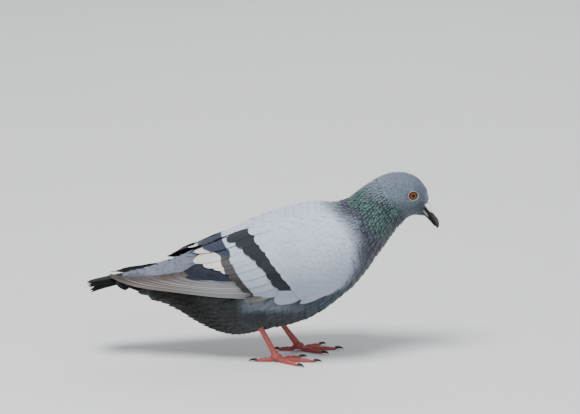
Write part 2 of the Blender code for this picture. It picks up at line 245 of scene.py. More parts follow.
def bridge(reach, width=2):
    """Closes dips of a few rows, where rays slip into the gap between two solids."""
    for best in (np.fmax, np.fmin):
        padded = np.pad(reach, ((width, width), (0, 0)), mode="edge")
        reach = best.reduce([padded[k : k + len(reach)] for k in range(2 * width + 1)])
    return reach


def narrow_face(points):
    """Draws the sides of the face in towards the bill, as far as the cere's lobes stand clear."""
    x, y = points[..., 0], points[..., 1]
    limit = across(FACE_WIDTH, x) + 3.0 * ramp(points[..., 2], 141, 146)
    points[..., 1] = np.where(x > FACE_START, y * limit / (y**4 + limit**4) ** 0.25, y)
    return points


def form_of(reach, first_axis, softness=2.0):
    """A smooth surface through the reaches, filled along one axis first, then the other.

    It holds points, steps for one row forward, and steps for one cell round.
    """
    reach = fill_gaps(fill_gaps(bridge(reach), first_axis), 1 - first_axis)
    reach = blur(blur(reach, softness, 0), softness * 0.8, 1, wrap=True)
    sine, cosine = np.sin(np.radians(TURNS)), np.cos(np.radians(TURNS))
    level = np.broadcast_to(cosine, reach.shape)
    out = np.stack([SECTION_UPS[:, :1] * sine, level, SECTION_UPS[:, 1:] * sine], 2)
    middles = np.stack([SECTION_MIDDLES[:, 0], 0 * SECTION_TOPS, SECTION_MIDDLES[:, 1]], 1)
    points = narrow_face(middles[:, None] + out * reach[..., None])
    forward = np.gradient(points, axis=0)
    wrapped = np.concatenate([points[:, -1:], points, points[:, :1]], 1)
    return np.concatenate([points, forward, np.gradient(wrapped, axis=1)[:, 1:-1]], 2)


def between(grid, rows, columns):
    """Values of a grid between its cells; its last column is followed by its first."""
    r, c = np.floor(rows).astype(int), np.floor(columns).astype(int)
    fr, fc = (rows - r)[..., None], (columns - c)[..., None]
    c, after = c % grid.shape[1], (c + 1) % grid.shape[1]
    found = (grid[r, c] * (1 - fc) + grid[r, after] * fc) * (1 - fr)
    return found + (grid[r + 1, c] * (1 - fc) + grid[r + 1, after] * fc) * fr


def look_up(form, rows, turns):
    """Points, unit normals, and the steps for one row forward and one cell round."""
    rows = np.clip(rows, 0, len(form) - 1.001)
    found = between(form, rows, np.mod(turns, 360) / TURN_STEP)
    points, forward, around = found[..., :3], found[..., 3:6], found[..., 6:]
    return points, unit(np.cross(around, forward)), forward, around


def row_at(top_x):
    """The row whose section starts at this x on the midline of the back."""
    return np.interp(top_x, SECTION_TOPS, np.arange(len(SECTION_TOPS)))


def top_at(rows):
    """Where the sections of these rows meet the midline of the back, as x."""
    return SECTION_TOPS[rows.astype(int)]


def turn_at(form, top_x, height, side):
    """The angles at which the form has these heights, on one side of the bird."""
    angles = np.arange(-60.0, 88.0, 1.0)
    signed = angles if side > 0 else 180 - angles
    rows = np.broadcast_to(row_at(top_x.ravel())[:, None], (top_x.size, len(angles)))
    levels = look_up(form, rows, np.broadcast_to(signed, rows.shape))[0][..., 2]
    levels = np.maximum.accumulate(levels, axis=1)
    found = [np.interp(level, line, signed) for level, line in zip(height.ravel(), levels)]
    return np.array(found).reshape(top_x.shape)


def trace(form, roots, tips, side, v, bow=0.0):
    """Centrelines on one side between roots and tips, given as side views: x forward, z up.

    bow lifts the middle of each line, as a share of its length.
    """
    roots, tips = np.asarray(roots, float), np.asarray(tips, float)
    line = roots[:, None] + (tips - roots)[:, None] * v[None, :, None]
    length = np.linalg.norm(tips - roots, axis=1)
    line[..., 1] += (bow * length)[:, None] * 4 * v * (1 - v)
    top_x = line[..., 0].copy()
    for _ in range(4):
        # A leaning section meets the back behind or before the x that is wanted.
        turns = turn_at(form, top_x, line[..., 1], side)
        points, normals, _, _ = look_up(form, row_at(top_x), turns)
        top_x += line[..., 0] - points[..., 0]
    way = unit(np.gradient(points, v, axis=1))
    return points, unit(square_to(way, normals)), way, row_at(top_x)[:, 0], turns[:, 0]


# Vanes: closed thin feathers, laid in numbers


ALONG = {
    "small": np.array([0, 0.35, 0.65, 0.86, 0.96, 1.0]),
    "middle": np.array([0, 0.25, 0.48, 0.68, 0.83, 0.93, 0.98, 1.0]),
    "long": np.concatenate([np.linspace(0, 0.88, 14), [0.93, 0.965, 0.985, 0.996, 1.0]]),
}
ACROSS = {
    "small": np.array([-1, 0, 1.0]),
    "middle": np.array([-1, -0.5, 0, 0.5, 1.0]),
    "long": np.array([-1, -0.72, -0.36, 0, 0.36, 0.72, 1.0]),
}
CREASE = math.radians(60)  # a vane's border stays sharp


def vane_faces(long_count, wide_count):
    """Corners of one vane: an upper and a lower grid that share their border."""
    upper = np.arange(long_count * wide_count).reshape(long_count, wide_count)
    lower = upper.copy()
    inner = (long_count - 2) * (wide_count - 2)
    lower[1:-1, 1:-1] = upper.size + np.arange(inner).reshape(long_count - 2, wide_count - 2)
    faces = []
    for grid, step in ((upper, -1), (lower, 1)):
        quads = np.stack([grid[:-1, :-1], grid[:-1, 1:], grid[1:, 1:], grid[1:, :-1]], -1)
        faces.append(quads.reshape(-1, 4)[:, ::step])
    return np.concatenate(faces), upper.size + inner


def outline(v, narrow, blunt):
    """Half width of a vane along its length: narrow at the root, blunt or pointed at the tip."""
    rise = narrow + (1 - narrow) * np.sin(np.clip(v / 0.55, 0, 1) * math.pi / 2)
    fall = np.clip((v - 0.5) / 0.5, 0, 1)
    close = np.sqrt(np.clip(1 - fall**blunt, 0, 1)) * 0.9 + 0.1 * (1 - fall)
    return rise * np.clip(close, 0.06, 1)


class Coat:
    """Collects vanes for one mesh.

    A marked coat holds few, large vanes: each has its own strip of the unwrap, and its tint gives
    a ground colour, a colour over it and a colour of the rim, with how many millimetres inside the
    last two each point lies, so that their edges stay crisp.
    """

    def __init__(self, name, kind, marked=False):
        self.name, self.marked = name, marked
        self.v, self.u = ALONG[kind], ACROSS[kind]
        self.kept = {}

    def keep(self, name, top, under=None):
        """Stores values of the upper grid, and of the lower grid inside its border."""
        under = top if under is None else under
        flat = top.reshape(len(top), -1, top.shape[-1])
        inner = under[:, 1:-1, 1:-1].reshape(len(top), -1, top.shape[-1])
        self.kept.setdefault(name, []).append(np.concatenate([flat, inner], 1))

    def all_of(self, name):
        values = np.concatenate(self.kept[name])
        return values.reshape(-1, values.shape[-1])

    def add(self, centre, normal, along, width, tint, spot, narrow=0.45, blunt=2.6, crown=0.1,
            thick=0.3, roll=0.0, outer=1.0, lead=1):
        """Vanes round centrelines: centre, normal and along are (count, steps, 3) arrays.

        crown bends a vane's two sides down, roll tilts it, outer narrows its leading side, which
        is the side that lead names, and spot is its root's place on the skin's unwrap.
        """
        count = len(centre)
        v, u = self.v[None, :, None], self.u[None, None, :]
        width, crown, roll, outer = (
            np.broadcast_to(part, count)[:, None, None] for part in (width, crown, roll, outer)
        )
        half = 0.5 * width * outline(self.v, narrow, blunt)[:, None]
        span = half * u * np.where(u * lead > 0, outer, 1.0)
        lift = -crown * half * u**2 + roll * span * lead
        body = thick * (1 - u**2) * np.sqrt(np.clip(np.sin(math.pi * np.clip(v, 0.02, 0.98)), 0, 1))
        upper = centre[:, :, None] + unit(np.cross(normal, along))[:, :, None] * span[..., None]
        upper = upper + normal[:, :, None] * (lift + body / 2)[..., None]
        grid = upper.shape[:3]
        own = np.broadcast_to(rng.random(count)[:, None, None], grid)
        length = np.linalg.norm(np.diff(centre, axis=1), axis=2).sum(1)[:, None, None]
        steps, sides, edge = (np.broadcast_to(part, grid) for part in (v, u, u * lead))
        self.keep("points", upper, upper - normal[:, :, None] * body[..., None])
        self.keep("vane", np.stack([span, steps * length, own], -1))
        shades = tint(upper, steps, edge, own)
        if self.marked:
            for name, value in zip(("tint", "over", "rim"), shades[:3]):
                self.keep(name, np.broadcast_to(value, upper.shape))
            depths = [np.broadcast_to(part, grid) for part in (*shades[3:], 0.0)]
            self.keep("depths", np.stack(depths, -1))
            first = sum(len(part) for part in self.kept.get("place", []))
            number = first + np.broadcast_to(np.arange(count)[:, None, None], grid)
            self.keep("place", np.stack([number + 0.5 + 0.4 * sides, 0.02 + 0.96 * steps], -1))
        else:
            self.keep("tint", shades)
            spot = [part[:, None, None] for part in spot]
            place = spot[0] + 0.0015 * sides, spot[1] + 0.0015 * (2 * steps - 1)
            self.keep("place", np.stack(place, -1))

    def build(self, look, slot, *nodes):
        """Makes the mesh of all vanes, with its colours, its unwrap and its place in the frame."""
        faces, size = vane_faces(len(self.v), len(self.u))
        points = self.all_of("points")
        count = len(points) // size
        quads = (faces[None] + size * np.arange(count)[:, None, None]).reshape(-1, 4)
        made = mesh_piece(self.name, points, quads, look)
        for name in ("tint", "over", "rim") if self.marked else ("tint",):
            paint(made.data, name, self.all_of(name))
        for name in ("vane", "depths") if self.marked else ("vane",):
            keep_vectors(made.data, name, self.all_of(name))
        place = self.all_of("place") / (count if self.marked else 1, 1)
        unwrap(made.data, place[quads.ravel()])
        made.data.set_sharp_from_angle(angle=CREASE)
        finish_piece(made, slot, *nodes)


def mesh_piece(name, points, quads, look):
    """A smooth mesh object from numpy points in millimetres and four-cornered faces."""
    mesh = bpy.data.meshes.new(name)
    mesh.vertices.add(len(points))
    mesh.vertices.foreach_set("co", (np.asarray(points) * MM).astype(np.float32).ravel())
    mesh.loops.add(quads.size)
    mesh.loops.foreach_set("vertex_index", quads.astype(np.int32).ravel())
    mesh.polygons.add(len(quads))
    mesh.polygons.foreach_set("loop_start", np.arange(0, quads.size, 4, dtype=np.int32))
    mesh.update(calc_edges=True)
    mesh.validate()
    mesh.shade_smooth()
    mesh.materials.append(look)
    return add_object(name, mesh)


def paint(mesh, name, colours):
    """Keeps a linear colour for each point of a mesh."""
    layer = mesh.color_attributes.new(name, "FLOAT_COLOR", "POINT")
    layer.data.foreach_set("color", np.c_[colours, np.ones(len(colours))].ravel())


def keep_vectors(mesh, name, values):
    layer = mesh.attributes.new(name, "FLOAT_VECTOR", "POINT")
    layer.data.foreach_set("vector", values.astype(np.float32).ravel())


def unwrap(mesh, places):
    """The coat's unwrap, from a place for each corner."""
    mesh.uv_layers.new(name="OFBake").uv.foreach_set("vector", places.astype(np.float32).ravel())


def finish_piece(piece, slot, *nodes):
    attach(piece, "root")
    if nodes:
        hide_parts(*nodes)


def unwrap_spot(rows, turns):
    """The place of a root on the skin's unwrap: turns across, rows up."""
    return 0.01 + 0.98 * np.mod(turns + 90, 360) / 360, 0.01 + 0.98 * rows / len(SECTION_TOPS)


def walk(form, rows, turns, length, v, stray=4.0):
    """Centrelines over the form, from roots towards the tail, each up to stray degrees off."""
    first = rows, turns
    count = len(rows)
    length = length * rng.uniform(0.93, 1.07, count)
    drop = np.radians(rng.uniform(-stray, stray, count))
    rows, turns = rows.copy(), turns.copy()
    found = [[], [], []]
    at = 0.0
    for share in v:
        for _ in range(2):
            step = length * (share - at) / 2
            points, normals, forward, around = look_up(form, rows, turns)
            back = unit(-forward)
            angle = drop * np.clip(np.cos(np.radians(turns)) * 4, -1, 1)
            side = unit(np.cross(normals, back))
            way = back * np.cos(angle)[:, None] + side * np.sin(angle)[:, None]
            # The step along the form as rows and cells: the least-squares fit of the two tangents.
            a, b, c = ((one * two).sum(1) for one, two in (
                (forward, forward), (forward, around), (around, around)))
            p, q = (forward * way).sum(1), (around * way).sum(1)
            det = np.maximum(a * c - b * b, 1e-9)
            rows += step * (c * p - b * q) / det
            turns += step * (a * q - b * p) / det * TURN_STEP
        at = share
        points, normals, _, _ = look_up(form, rows, turns)
        for store, value in zip(found, (points, normals, way)):
            store.append(value)
    return (*(np.stack(part, 1) for part in found), *first)


def lay(coat, line, tint, width, root, tip, unrest=0.08, **shape):
    """Adds vanes along centrelines. root and tip are heights over the form at a vane's two ends."""
    centre, normal, way, rows, turns = line
    count = len(centre)
    root, tip = (np.broadcast_to(height, count)[:, None] for height in (root, tip))
    height = root + (tip - root) * coat.v[None] + rng.uniform(-1, 1, (count, 1)) * unrest
    centre = centre + normal * height[..., None]
    coat.add(centre, normal, way, width, tint, unwrap_spot(rows, turns), **shape)


# How each kind of feather grows: the x on the back where its rows start and end, the gap from one
# row to the next at places between, and as shares of that the gap in a row, a length and a width.
GROWTH = {
    "head": (148.3, 108.0, (104, 116, 148), (2.6, 1.8, 1.1), (1.0, 3.0, 1.6)),
    "neck": (108.0, 78.0, (66, 84, 108), (3.4, 2.8, 2.3), (0.95, 3.2, 1.3)),
    "body": (78.0, -115.0, (-118, -60, 0, 50, 78), (6.5, 5.5, 5.6, 5.2, 4.0), (1.1, 3.0, 1.8)),
    "mantle": (66.0, -40.0, (-60, 10, 40, 66), (7.5, 7.5, 6.5, 4.8), (1.0, 3.0, 1.9)),
}


def rows_of(form, kind, turn_range=lambda x: (0, 360)):
    """Roots of one kind in staggered rows towards the tail: rows, turns, lengths and widths.

    turn_range gives the first and last angle of a row at an x.
    """
    found = []
    start, end, places_x, gaps, shares = GROWTH[kind]
    row, last, odd = row_at(start), row_at(end), False
    while row > last:
        x = np.interp(row, np.arange(len(SECTION_TOPS)), SECTION_TOPS)
        gap = np.interp(x, places_x, gaps)
        pitch, length, width = (gap * share for share in shares)
        angles = np.linspace(*turn_range(x), 181)
        run = run_of(look_up(form, np.full(181, row), angles)[0])
        count = max(int(run[-1] / pitch), 1)
        places = (np.arange(count) + (0.75 if odd else 0.25)) / count * run[-1]
        places = places + rng.uniform(-0.12, 0.12, count) * pitch
        turns = np.interp(places, run, angles)
        jitter = rng.uniform(-0.15, 0.15, count) * gap / ROW_STEP
        forward = look_up(form, np.full(count, row), turns)[2]
        stretch = np.linalg.norm(forward, axis=1) / ROW_STEP
        for turn, shift, grow in zip(turns, jitter, stretch):
            found.append((row + shift, turn, length * max(grow, 0.8), width * max(grow, 1.0) ** 0.5))
        row -= gap / ROW_STEP
        odd = not odd
    return np.array(found).T


# Markings

# The wing's markings in side view, as pairs of height and x: the fore edge of the front bar, the
# line on which its feathers end, the fore edge of the rear bar, and that of the pale tips behind it.
FRONT_BAR_FORE = ((72.0, 26.5), (78.3, 22.0), (91.3, 10.8), (100.6, 4.0), (112.6, -6.7), (118.0, -12.5))
FRONT_BAR_REAR = (
    (73.9, 15.7), (77.2, 10.8), (90.1, 1.0), (100.3, -10.0), (109.5, -22.3), (113.5, -35.4), (115.5, -44.0)
)
REAR_BAR_FORE = ((69.5, -8.9), (78.3, -16.6), (86.9, -23.2), (97.4, -28.7), (105.0, -29.8), (113.5, -37.5))
PALE_TIP_FORE = (
    (84.9, -33.2), (91.5, -35.4), (101.5, -38.7), (103.2, -45.3), (104.3, -56.3), (105.0, -75.0)
)
# Where the painted shade on the pale shield's rounded front begins.
SHADE_FORE = (
    (60.0, 54.0), (63.0, 57.0), (72.5, 68.0), (90.0, 78.0), (114.6, 79.5), (128.0, 72.5),
    (134.4, 66.0), (138.5, 56.0), (147.0, 41.0),
)
RUMP_EDGE = ((-140, 74), (-105, 75), (-40, 70))  # the height at which the rump's colour begins, by x


def noise_at(points, scale):
    """A smooth repeatable unevenness between -1 and 1, from crossed waves."""
    p = points / scale
    waves = np.sin(p[..., 0] * 1.7 + 1.3 * np.sin(p[..., 1] * 1.1 + p[..., 2] * 0.7))
    waves = waves + np.sin(p[..., 2] * 2.1 + 1.7 * np.sin(p[..., 0] * 0.9 - p[..., 1] * 1.3))
    return waves / 2


def shaded(colour, points, own, spread, patch=0.03):
    """Makes each vane a little lighter or darker than its neighbours."""
    shade = 1 + spread * (own - 0.5) + patch * noise_at(points, 11.0)
    return np.clip(colour * shade[..., None], 0, 1)


def zone(points, at, heading):
    """Millimetres past a line square to the side view: at is on it, heading points past it."""
    turn = math.radians(heading)
    return (points[..., 0] - at[0]) * math.cos(turn) + (points[..., 2] - at[1]) * math.sin(turn)


def before_shield(points):
    """Millimetres before the line where the painted shade on the pale shield's front begins."""
    return points[..., 0] - across(SHADE_FORE, points[..., 2])


def pale_ground_lit_from_above(points):
    """The pale grey of back and wings with painted light: lightest on the back, darker lower down as painted
    shade.
    """
    return mix(SHADED_LOWER_GREY, PALE_GREY, ramp(points[..., 2], 66, 134))


def shield_ground(points):
    """The pale grey, with a blue-grey painted shade on the shield's rounded front margin."""
    return mix(pale_ground_lit_from_above(points), BREAST_AND_SHADE_GREY, ramp(before_shield(points), -5, 11))


# A tint gives the colour of a coat's points: v runs from root to tip, u from the trailing to the
# leading edge, and own is the vane's chance. On a marked coat it gives the ground, the colour over
# it and the rim's, and how many millimetres inside the last two each point lies.


def body_tint(points, v, u, own):
    """Head, neck, breast, back, belly, rump and vent.

    Each step lays one more colour over the last, from its own place on, with a soft border.
    """
    x, y, z = points[..., 0], abs(points[..., 1]), points[..., 2]
    patch = 3.0 * noise_at(points, 12.0)
    # Painted shade downwards: the breast darkens, the belly and vent more, to a near black painted shadow
    # under the tail; the flank's own paler grey shows on its lit side below the wing.
    colour = mix(BREAST_AND_SHADE_GREY, SHADED_BREAST_SLATE, ramp(120 - z, 0, 24))
    colour = mix(colour, FLANK_GREY, ramp(y, 18, 30) * ramp(z, 44, 52) * ramp(48 - x, 0, 40))
    colour = mix(colour, SHADED_BELLY_SLATE, ramp(52 - z, 0, 13))
    colour = mix(colour, SHADED_VENT_SLATE, ramp(-x, 12, 27) * ramp(78 - z, 0, 10))
    colour = mix(colour, UNDERTAIL_SHADOW, ramp(-x + 0.8 * (70 - z), 56, 80) * ramp(78 - z, 0, 8))
    colour = mix(colour, RUMP_GREY, ramp(-x, 40, 56) * ramp(z - across(RUMP_EDGE, x), 0, 6))
    low_down = zone(points, (86, 120), 10) - 9 * ramp(104 - z, 0, 8)
    purple = ramp(np.maximum(zone(points, (64, 143), 56), low_down) + 0.5 * patch, -4, 5)
    colour = mix(colour, NECK_PURPLE, 0.8 * purple)
    green = ramp(zone(points, (72, 147), 44) + patch, -3, 6)
    glint = ramp(noise_at(points, 3.4) + 0.8 * (own - 0.5), -0.8, 1.0)
    colour = mix(colour, mix(NECK_TEAL, NECK_GREEN, glint), green)
    throat = ramp(zone(points, (105, 112), -35) + patch, -8, 5)
    colour = mix(colour, THROAT_SLATE, 0.85 * throat * green)
    head = ramp(zone(points, (86, 158), 57) + patch, -4, 9)
    colour = mix(colour, HEAD_GREY, head)
    colour = mix(colour, CHEEK_GREY, head * ramp(150 - z - 0.2 * (x - 130), 0, 12))
    # Where the neck and breast meet a wing their feathers take its colour.
    shield = ramp(across(SHADE_FORE, z) + 14 - x, 0, 11) * ramp(z, 62, 74) * ramp(x, 30, 42) * (1 - purple)
    colour = mix(colour, shield_ground(points), shield * ramp(y, 14, 22))
    # A hackle shows a dark root and sides, partly its own dark base and partly painted shade between the
    # feathers, and a bright tip; the head's feathers show less of that.
    lit = ramp(v, 0.6, 0.86) * (1 - 0.6 * ramp(abs(u), 0.4, 1.0))
    clear = ramp(before_shield(points), 3, 17)
    gap = (0.74 * purple * (1 - head) + 0.12 * (1 - shield)) * clear + 0.34 * head
    colour = mix(colour, DARK_ROOT_AND_SHADE, gap * (1 - lit))
    return shaded(colour, points, own, 0.1 + 0.1 * (1 - shield) + 0.2 * purple * (1 - head))


def thigh_shade_tint(points, v, u, own):
    """The belly's colours, darkened as painted shade where the thigh swells out of it and faces up to the
    light.
    """
    return body_tint(points, v, u, own) * 0.84


def pale_tint(points, v, u, own, edging=0.12):
    """Mantle and scapulars: pale like the shield, with slightly darker sides."""
    colour = mix(shield_ground(points), COVERT_LINE, edging * ramp(abs(u), 0.7, 1.0))
    return shaded(colour, points, own, 0.06)


def shield_tint(points, v, u, own):
    """The pale shield, whose coverts have darker sides than the mantle's."""
    return pale_tint(points, v, u, own, edging=0.16)


def bar_tint(points, v, u, own):
    """Greater coverts: black over the front bar, and pale like the shield below it."""
    x, z = points[..., 0] + 1.0 * (own - 0.5), points[..., 2]
    ground = shield_tint(points, v, u, own)
    inside = np.minimum(across(FRONT_BAR_FORE, z) + 5 - x, z + 1.5 * own - 73.0)
    return ground, shaded(BAR_BLACK, points, own, 0.3), ground, inside, UNMARKED


def secondary_tint(points, v, u, own):
    """Pale quills whose dark ends form the rear bar, the inner ones with cream tips."""
    x, z = points[..., 0] + 1.6 * (own - 0.5), points[..., 2]
    ground = shaded(pale_ground_lit_from_above(points), points, own, 0.08)
    bar = mix(BAR_BROWN, BAR_SLATE, ramp(z + 0.15 * x, 94, 98))
    bar = shaded(bar * (1 - 0.5 * ramp(88 - z, 0, 8))[..., None], points, own, 0.2)
    # The cream tips wear through to brown in streaks, most near the sides.
    edging = ramp(noise_at(points * (0.35, 1.0, 1.0), 0.9) + 0.5 * abs(u), 0.9, 1.3)
    cream = shaded(mix(TIP_CREAM, BAR_BROWN, 0.5 * edging), points, own, 0.12, 0.08)
    tip = np.minimum(across(PALE_TIP_FORE, z) - x, z - 84.5)
    return ground, bar, cream, across(REAR_BAR_FORE, z) - x, tip


def far_tertial_tint(points, v, u, own):
    """The left wing's inner quills: slate from the rear bar on, black at the end, with a cream rim."""
    x, z = points[..., 0] + 1.6 * (own - 0.5), points[..., 2]
    ground = shaded(pale_ground_lit_from_above(points), points, own, 0.08)
    end = -points[..., 0] - 66
    dark = shaded(mix(BAR_SLATE, TAIL_BLACK, ramp(end, -3, 1)), points, own, 0.2)
    rim = np.minimum(np.maximum((abs(u) - 0.8) * 7, (v - 0.97) * 60), end)
    return ground, dark, TIP_CREAM, across(REAR_BAR_FORE, z) - x, rim


def brown_tint(points, v, u, own):
    """The small coverts at the wrist, brown with wear, with a pale edge."""
    ground = shaded(QUILL_BROWN * 0.8, points, own, 0.2)
    return ground, ground, QUILL_EDGE, UNMARKED, (u - 0.92) * 5


def slate_tint(points, v, u, own):
    """The outer secondaries, dark slate all over."""
    colour = mix(BAR_SLATE * 0.7, BAR_BLACK * 0.6, ramp(v, 0.8, 1.0))
    colour = shaded(colour, points, own, 0.25)
    return colour, colour, colour, UNMARKED, UNMARKED


def primary_tint(points, v, u, own):
    """Worn grey-brown quills, greyer at the root, dark near the tip, with a thin pale leading edge."""
    ground = mix(QUILL_GREY, QUILL_BROWN, ramp(-points[..., 0], 40, 90))
    ground = mix(ground, QUILL_BROWN * 0.5, ramp(v, 0.80, 1.0))
    # The web darkens away from the pale edge, painted shade towards the next quill, so that each quill reads
    # against the next.
    ground = ground * (0.62 + 0.38 * ramp(u, 0.3, 0.95))[..., None]
    fresh = ramp(own, 0.45, 0.7)
    rim = mix(QUILL_EDGE * 0.8, QUILL_BROWN * 0.8, ramp(v, 0.8, 0.97) * (1 - 0.6 * fresh))
    rim = rim * (0.8 + 0.4 * fresh)[..., None]
    return shaded(ground, points, own, 0.2), ground, rim, UNMARKED, (u - 0.94 + 0.05 * fresh) * 3.4


def tail_tint(points, v, u, own):
    """Blue-grey with a broad black band at the end."""
    ground, black = shaded(TAIL_GREY, points, own, 0.12), shaded(TAIL_BLACK, points, own, 0.3)
    return ground, black, ground, -points[..., 0] + 2 * own - 128, UNMARKED


# Materials


def node(tree, kind, inputs=None, **settings):
    """Adds a node with its settings, and links or sets its inputs."""
    made = tree.nodes.new(kind)
    for key, value in settings.items():
        setattr(made, key, value)
    for key, value in (inputs or {}).items():
        # A Mix node has sockets of one name for each kind of value; only those in use are enabled.
        named = [found for found in made.inputs if found.name == key and found.enabled]
        socket = named[0] if named else made.inputs[key]
        if isinstance(value, bpy.types.NodeSocket):
            tree.links.new(value, socket)
        else:
            socket.default_value = value
    return made


def attribute(tree, name, output="Color"):
    """What the mesh keeps under this name."""
    return node(tree, "ShaderNodeAttribute", attribute_name=name).outputs[output]


def parts_of(tree, vector):
    return node(tree, "ShaderNodeSeparateXYZ", {0: vector}).outputs


def maths(tree, operation, *inputs):
    return node(tree, "ShaderNodeMath", dict(enumerate(inputs)), operation=operation).outputs[0]


def noise(tree, scale, detail, **inputs):
    """Uneven values from 0 to 1; without a Vector, scale counts features in a metre."""
    return node(tree, "ShaderNodeTexNoise", {"Scale": scale, "Detail": detail, **inputs}).outputs["Fac"]


def rescaled(tree, value, start, end, low=0.0, high=1.0):
    """A value drawn from the range start..end to low..high, and held there."""
    inputs = {"Value": value, "From Min": start, "From Max": end, "To Min": low, "To Max": high}
    return node(tree, "ShaderNodeMapRange", inputs).outputs[0]


def mixed(tree, share, first, second):
    inputs = {"Factor": share, "A": first, "B": second}
    return node(tree, "ShaderNodeMix", inputs, data_type="RGBA").outputs["Result"]


def scaled(tree, colour, value):
    inputs = {0: colour, "Scale": value}
    return node(tree, "ShaderNodeVectorMath", inputs, operation="SCALE").outputs[0]


def relief(tree, height, strength, depth):
    """The bump of a surface, its depth in millimetres."""
    inputs = {"Height": height, "Strength": strength, "Distance": depth * MM}
    return node(tree, "ShaderNodeBump", inputs).outputs[0]


def opaque(hex_colour):
    return (*linear(hex_colour), 1)


def new_material(name, **surface):
    """A material whose Principled shader has these values, and its node tree and shader."""
    look = bpy.data.materials.new(name)
    look.use_nodes = True
    shader = look.node_tree.nodes["Principled BSDF"]
    for key, value in surface.items():
        shader.inputs[key.replace("_", " ")].default_value = value
    return look, look.node_tree, shader


def dress(tree, shader, colour, bump=None):
    tree.links.new(colour, shader.inputs["Base Color"])
    if bump is not None:
        tree.links.new(bump, shader.inputs["Normal"])


def feather(name, roughness, barb_mm, depth, sheen=0.1, marked=False):
    """Feather keratin: fine slanting barbs from the shaft, soft, with a slight gloss.

    Real barbs are 0.3 mm apart or less; they are drawn about three times as coarse, to show. They
    scatter most of the shine, so the specular level is low.
    """
    shine = {"IOR": 1.54, "Sheen_Weight": sheen, "Specular_IOR_Level": 0.14}
    look, tree, shader = new_material(name, Roughness=roughness, **shine)
    vane = attribute(tree, "vane", "Vector")
    off_shaft, along, _ = parts_of(tree, vane)
    slant = maths(tree, "MULTIPLY_ADD", maths(tree, "ABSOLUTE", off_shaft), -1.1, along)
    ridge = maths(tree, "SINE", maths(tree, "MULTIPLY", slant, math.tau / barb_mm))
    uneven = maths(tree, "MULTIPLY_ADD", noise(tree, scale=1.3, detail=3.0, Vector=vane), 1.6, ridge)
    ground = attribute(tree, "tint")
    if marked:
        for layer, inside in zip(("over", "rim"), parts_of(tree, attribute(tree, "depths", "Vector"))):
            # Barbs of both colours interlock over half a millimetre at a mark's edge.
            edge = maths(tree, "MULTIPLY_ADD", ridge, 0.25, inside)
            ground = mixed(tree, rescaled(tree, edge, -0.3, 0.3), ground, attribute(tree, layer))
    colour = scaled(tree, ground, rescaled(tree, uneven, -0.6, 2.2, low=0.88, high=1.08))
    dress(tree, shader, colour, relief(tree, uneven, strength=0.5, depth=depth))
    return look


def down_skin():
    """Skin under soft down: matt, blotched by the down, and darkened as painted shade of the depth between
    the feathers.
    """
    look, tree, shader = new_material("skin_under_down", Roughness=0.8, IOR=1.4)
    down_and_shade = noise(tree, scale=900.0, detail=3.0)  # of down, about 1 mm
    # Darkened to between half and nine tenths: blotches of down and painted shade.
    down_and_shade = rescaled(tree, down_and_shade, 0.0, 1.0, low=0.5, high=0.9)
    dress(tree, shader, scaled(tree, attribute(tree, "tint"), down_and_shade))
    return look


IRIS_BANDS = (
    (0.0, "#030303"), (0.42, "#040303"), (0.45, "#8f6418"), (0.52, "#8f5218"), (0.60, "#6e230e"),
    (0.80, "#54150b"), (0.90, "#180806"), (1.0, "#0a0707"),
)


def eyeball_look():
    """The living eye: an orange-red iris with a yellow inner ring under a wet, clear cornea."""
    wet = {"Coat_Weight": 0.45, "Coat_Roughness": 0.02, "Specular_IOR_Level": 0.1}
    look, tree, shader = new_material("iris_under_cornea", Roughness=0.25, IOR=1.376, **wet)
    place = node(tree, "ShaderNodeAttribute", attribute_name="iris").outputs
    fibres = noise(tree, scale=2.2, detail=4.0, Vector=place["Color"])
    radius = maths(tree, "MULTIPLY_ADD", fibres, 0.5, parts_of(tree, place["Vector"])[0])
    bands = node(tree, "ShaderNodeValToRGB", {"Fac": rescaled(tree, radius, 0.25, 4.25)})
    stops = bands.color_ramp.elements
    while len(stops) < len(IRIS_BANDS):
        stops.new(0.5)
    for stop, (share, colour) in zip(stops, IRIS_BANDS):
        stop.position = share
        stop.color = opaque(colour)
    dress(tree, shader, bands.outputs["Color"])
    return look


def rim_look():
    """Bare eyelid skin: pale, chalky, finely wrinkled round the eye, dark at its inner edge."""
    flesh = {"Subsurface_Weight": 0.1, "Subsurface_Radius": (0.001, 0.0005, 0.0004)}
    look, tree, shader = new_material("eyelid_skin", Roughness=0.55, IOR=1.4, **flesh)
    wrinkles = noise(tree, scale=1600.0, detail=2.0)  # 0.6 mm apart
    dress(tree, shader, attribute(tree, "tint"), relief(tree, wrinkles, strength=0.6, depth=0.2))
    return look


def horn_look(name, roughness):
    """Keratin sheath of bill and claw: dark, dense, faintly grooved along its growth, dull."""
    look, tree, shader = new_material(name, Roughness=roughness, IOR=1.55, Specular_IOR_Level=0.25)
    grain = noise(tree, scale=700.0, detail=4.0, Roughness=0.6)
    uneven = rescaled(tree, grain, 0.0, 1.0, low=0.65, high=1.35)
    colour = scaled(tree, attribute(tree, "tint"), uneven)
    dress(tree, shader, colour, relief(tree, grain, strength=0.5, depth=0.2))
    return look


def cere_look():
    """The fleshy cere: white, matt and powdery, with fine pits about half a millimetre apart."""
    flesh = {"Subsurface_Weight": 0.15, "Subsurface_Radius": (0.0007, 0.0006, 0.0006)}
    look, tree, shader = new_material("cere_powdery_skin", Roughness=0.8, IOR=1.4, **flesh)
    pits = noise(tree, scale=1500.0, detail=3.0)
    powder = mixed(tree, pits, opaque("#e4e2df"), opaque("#fdfcfa"))
    dress(tree, shader, powder, relief(tree, pits, strength=0.7, depth=0.3))
    return look


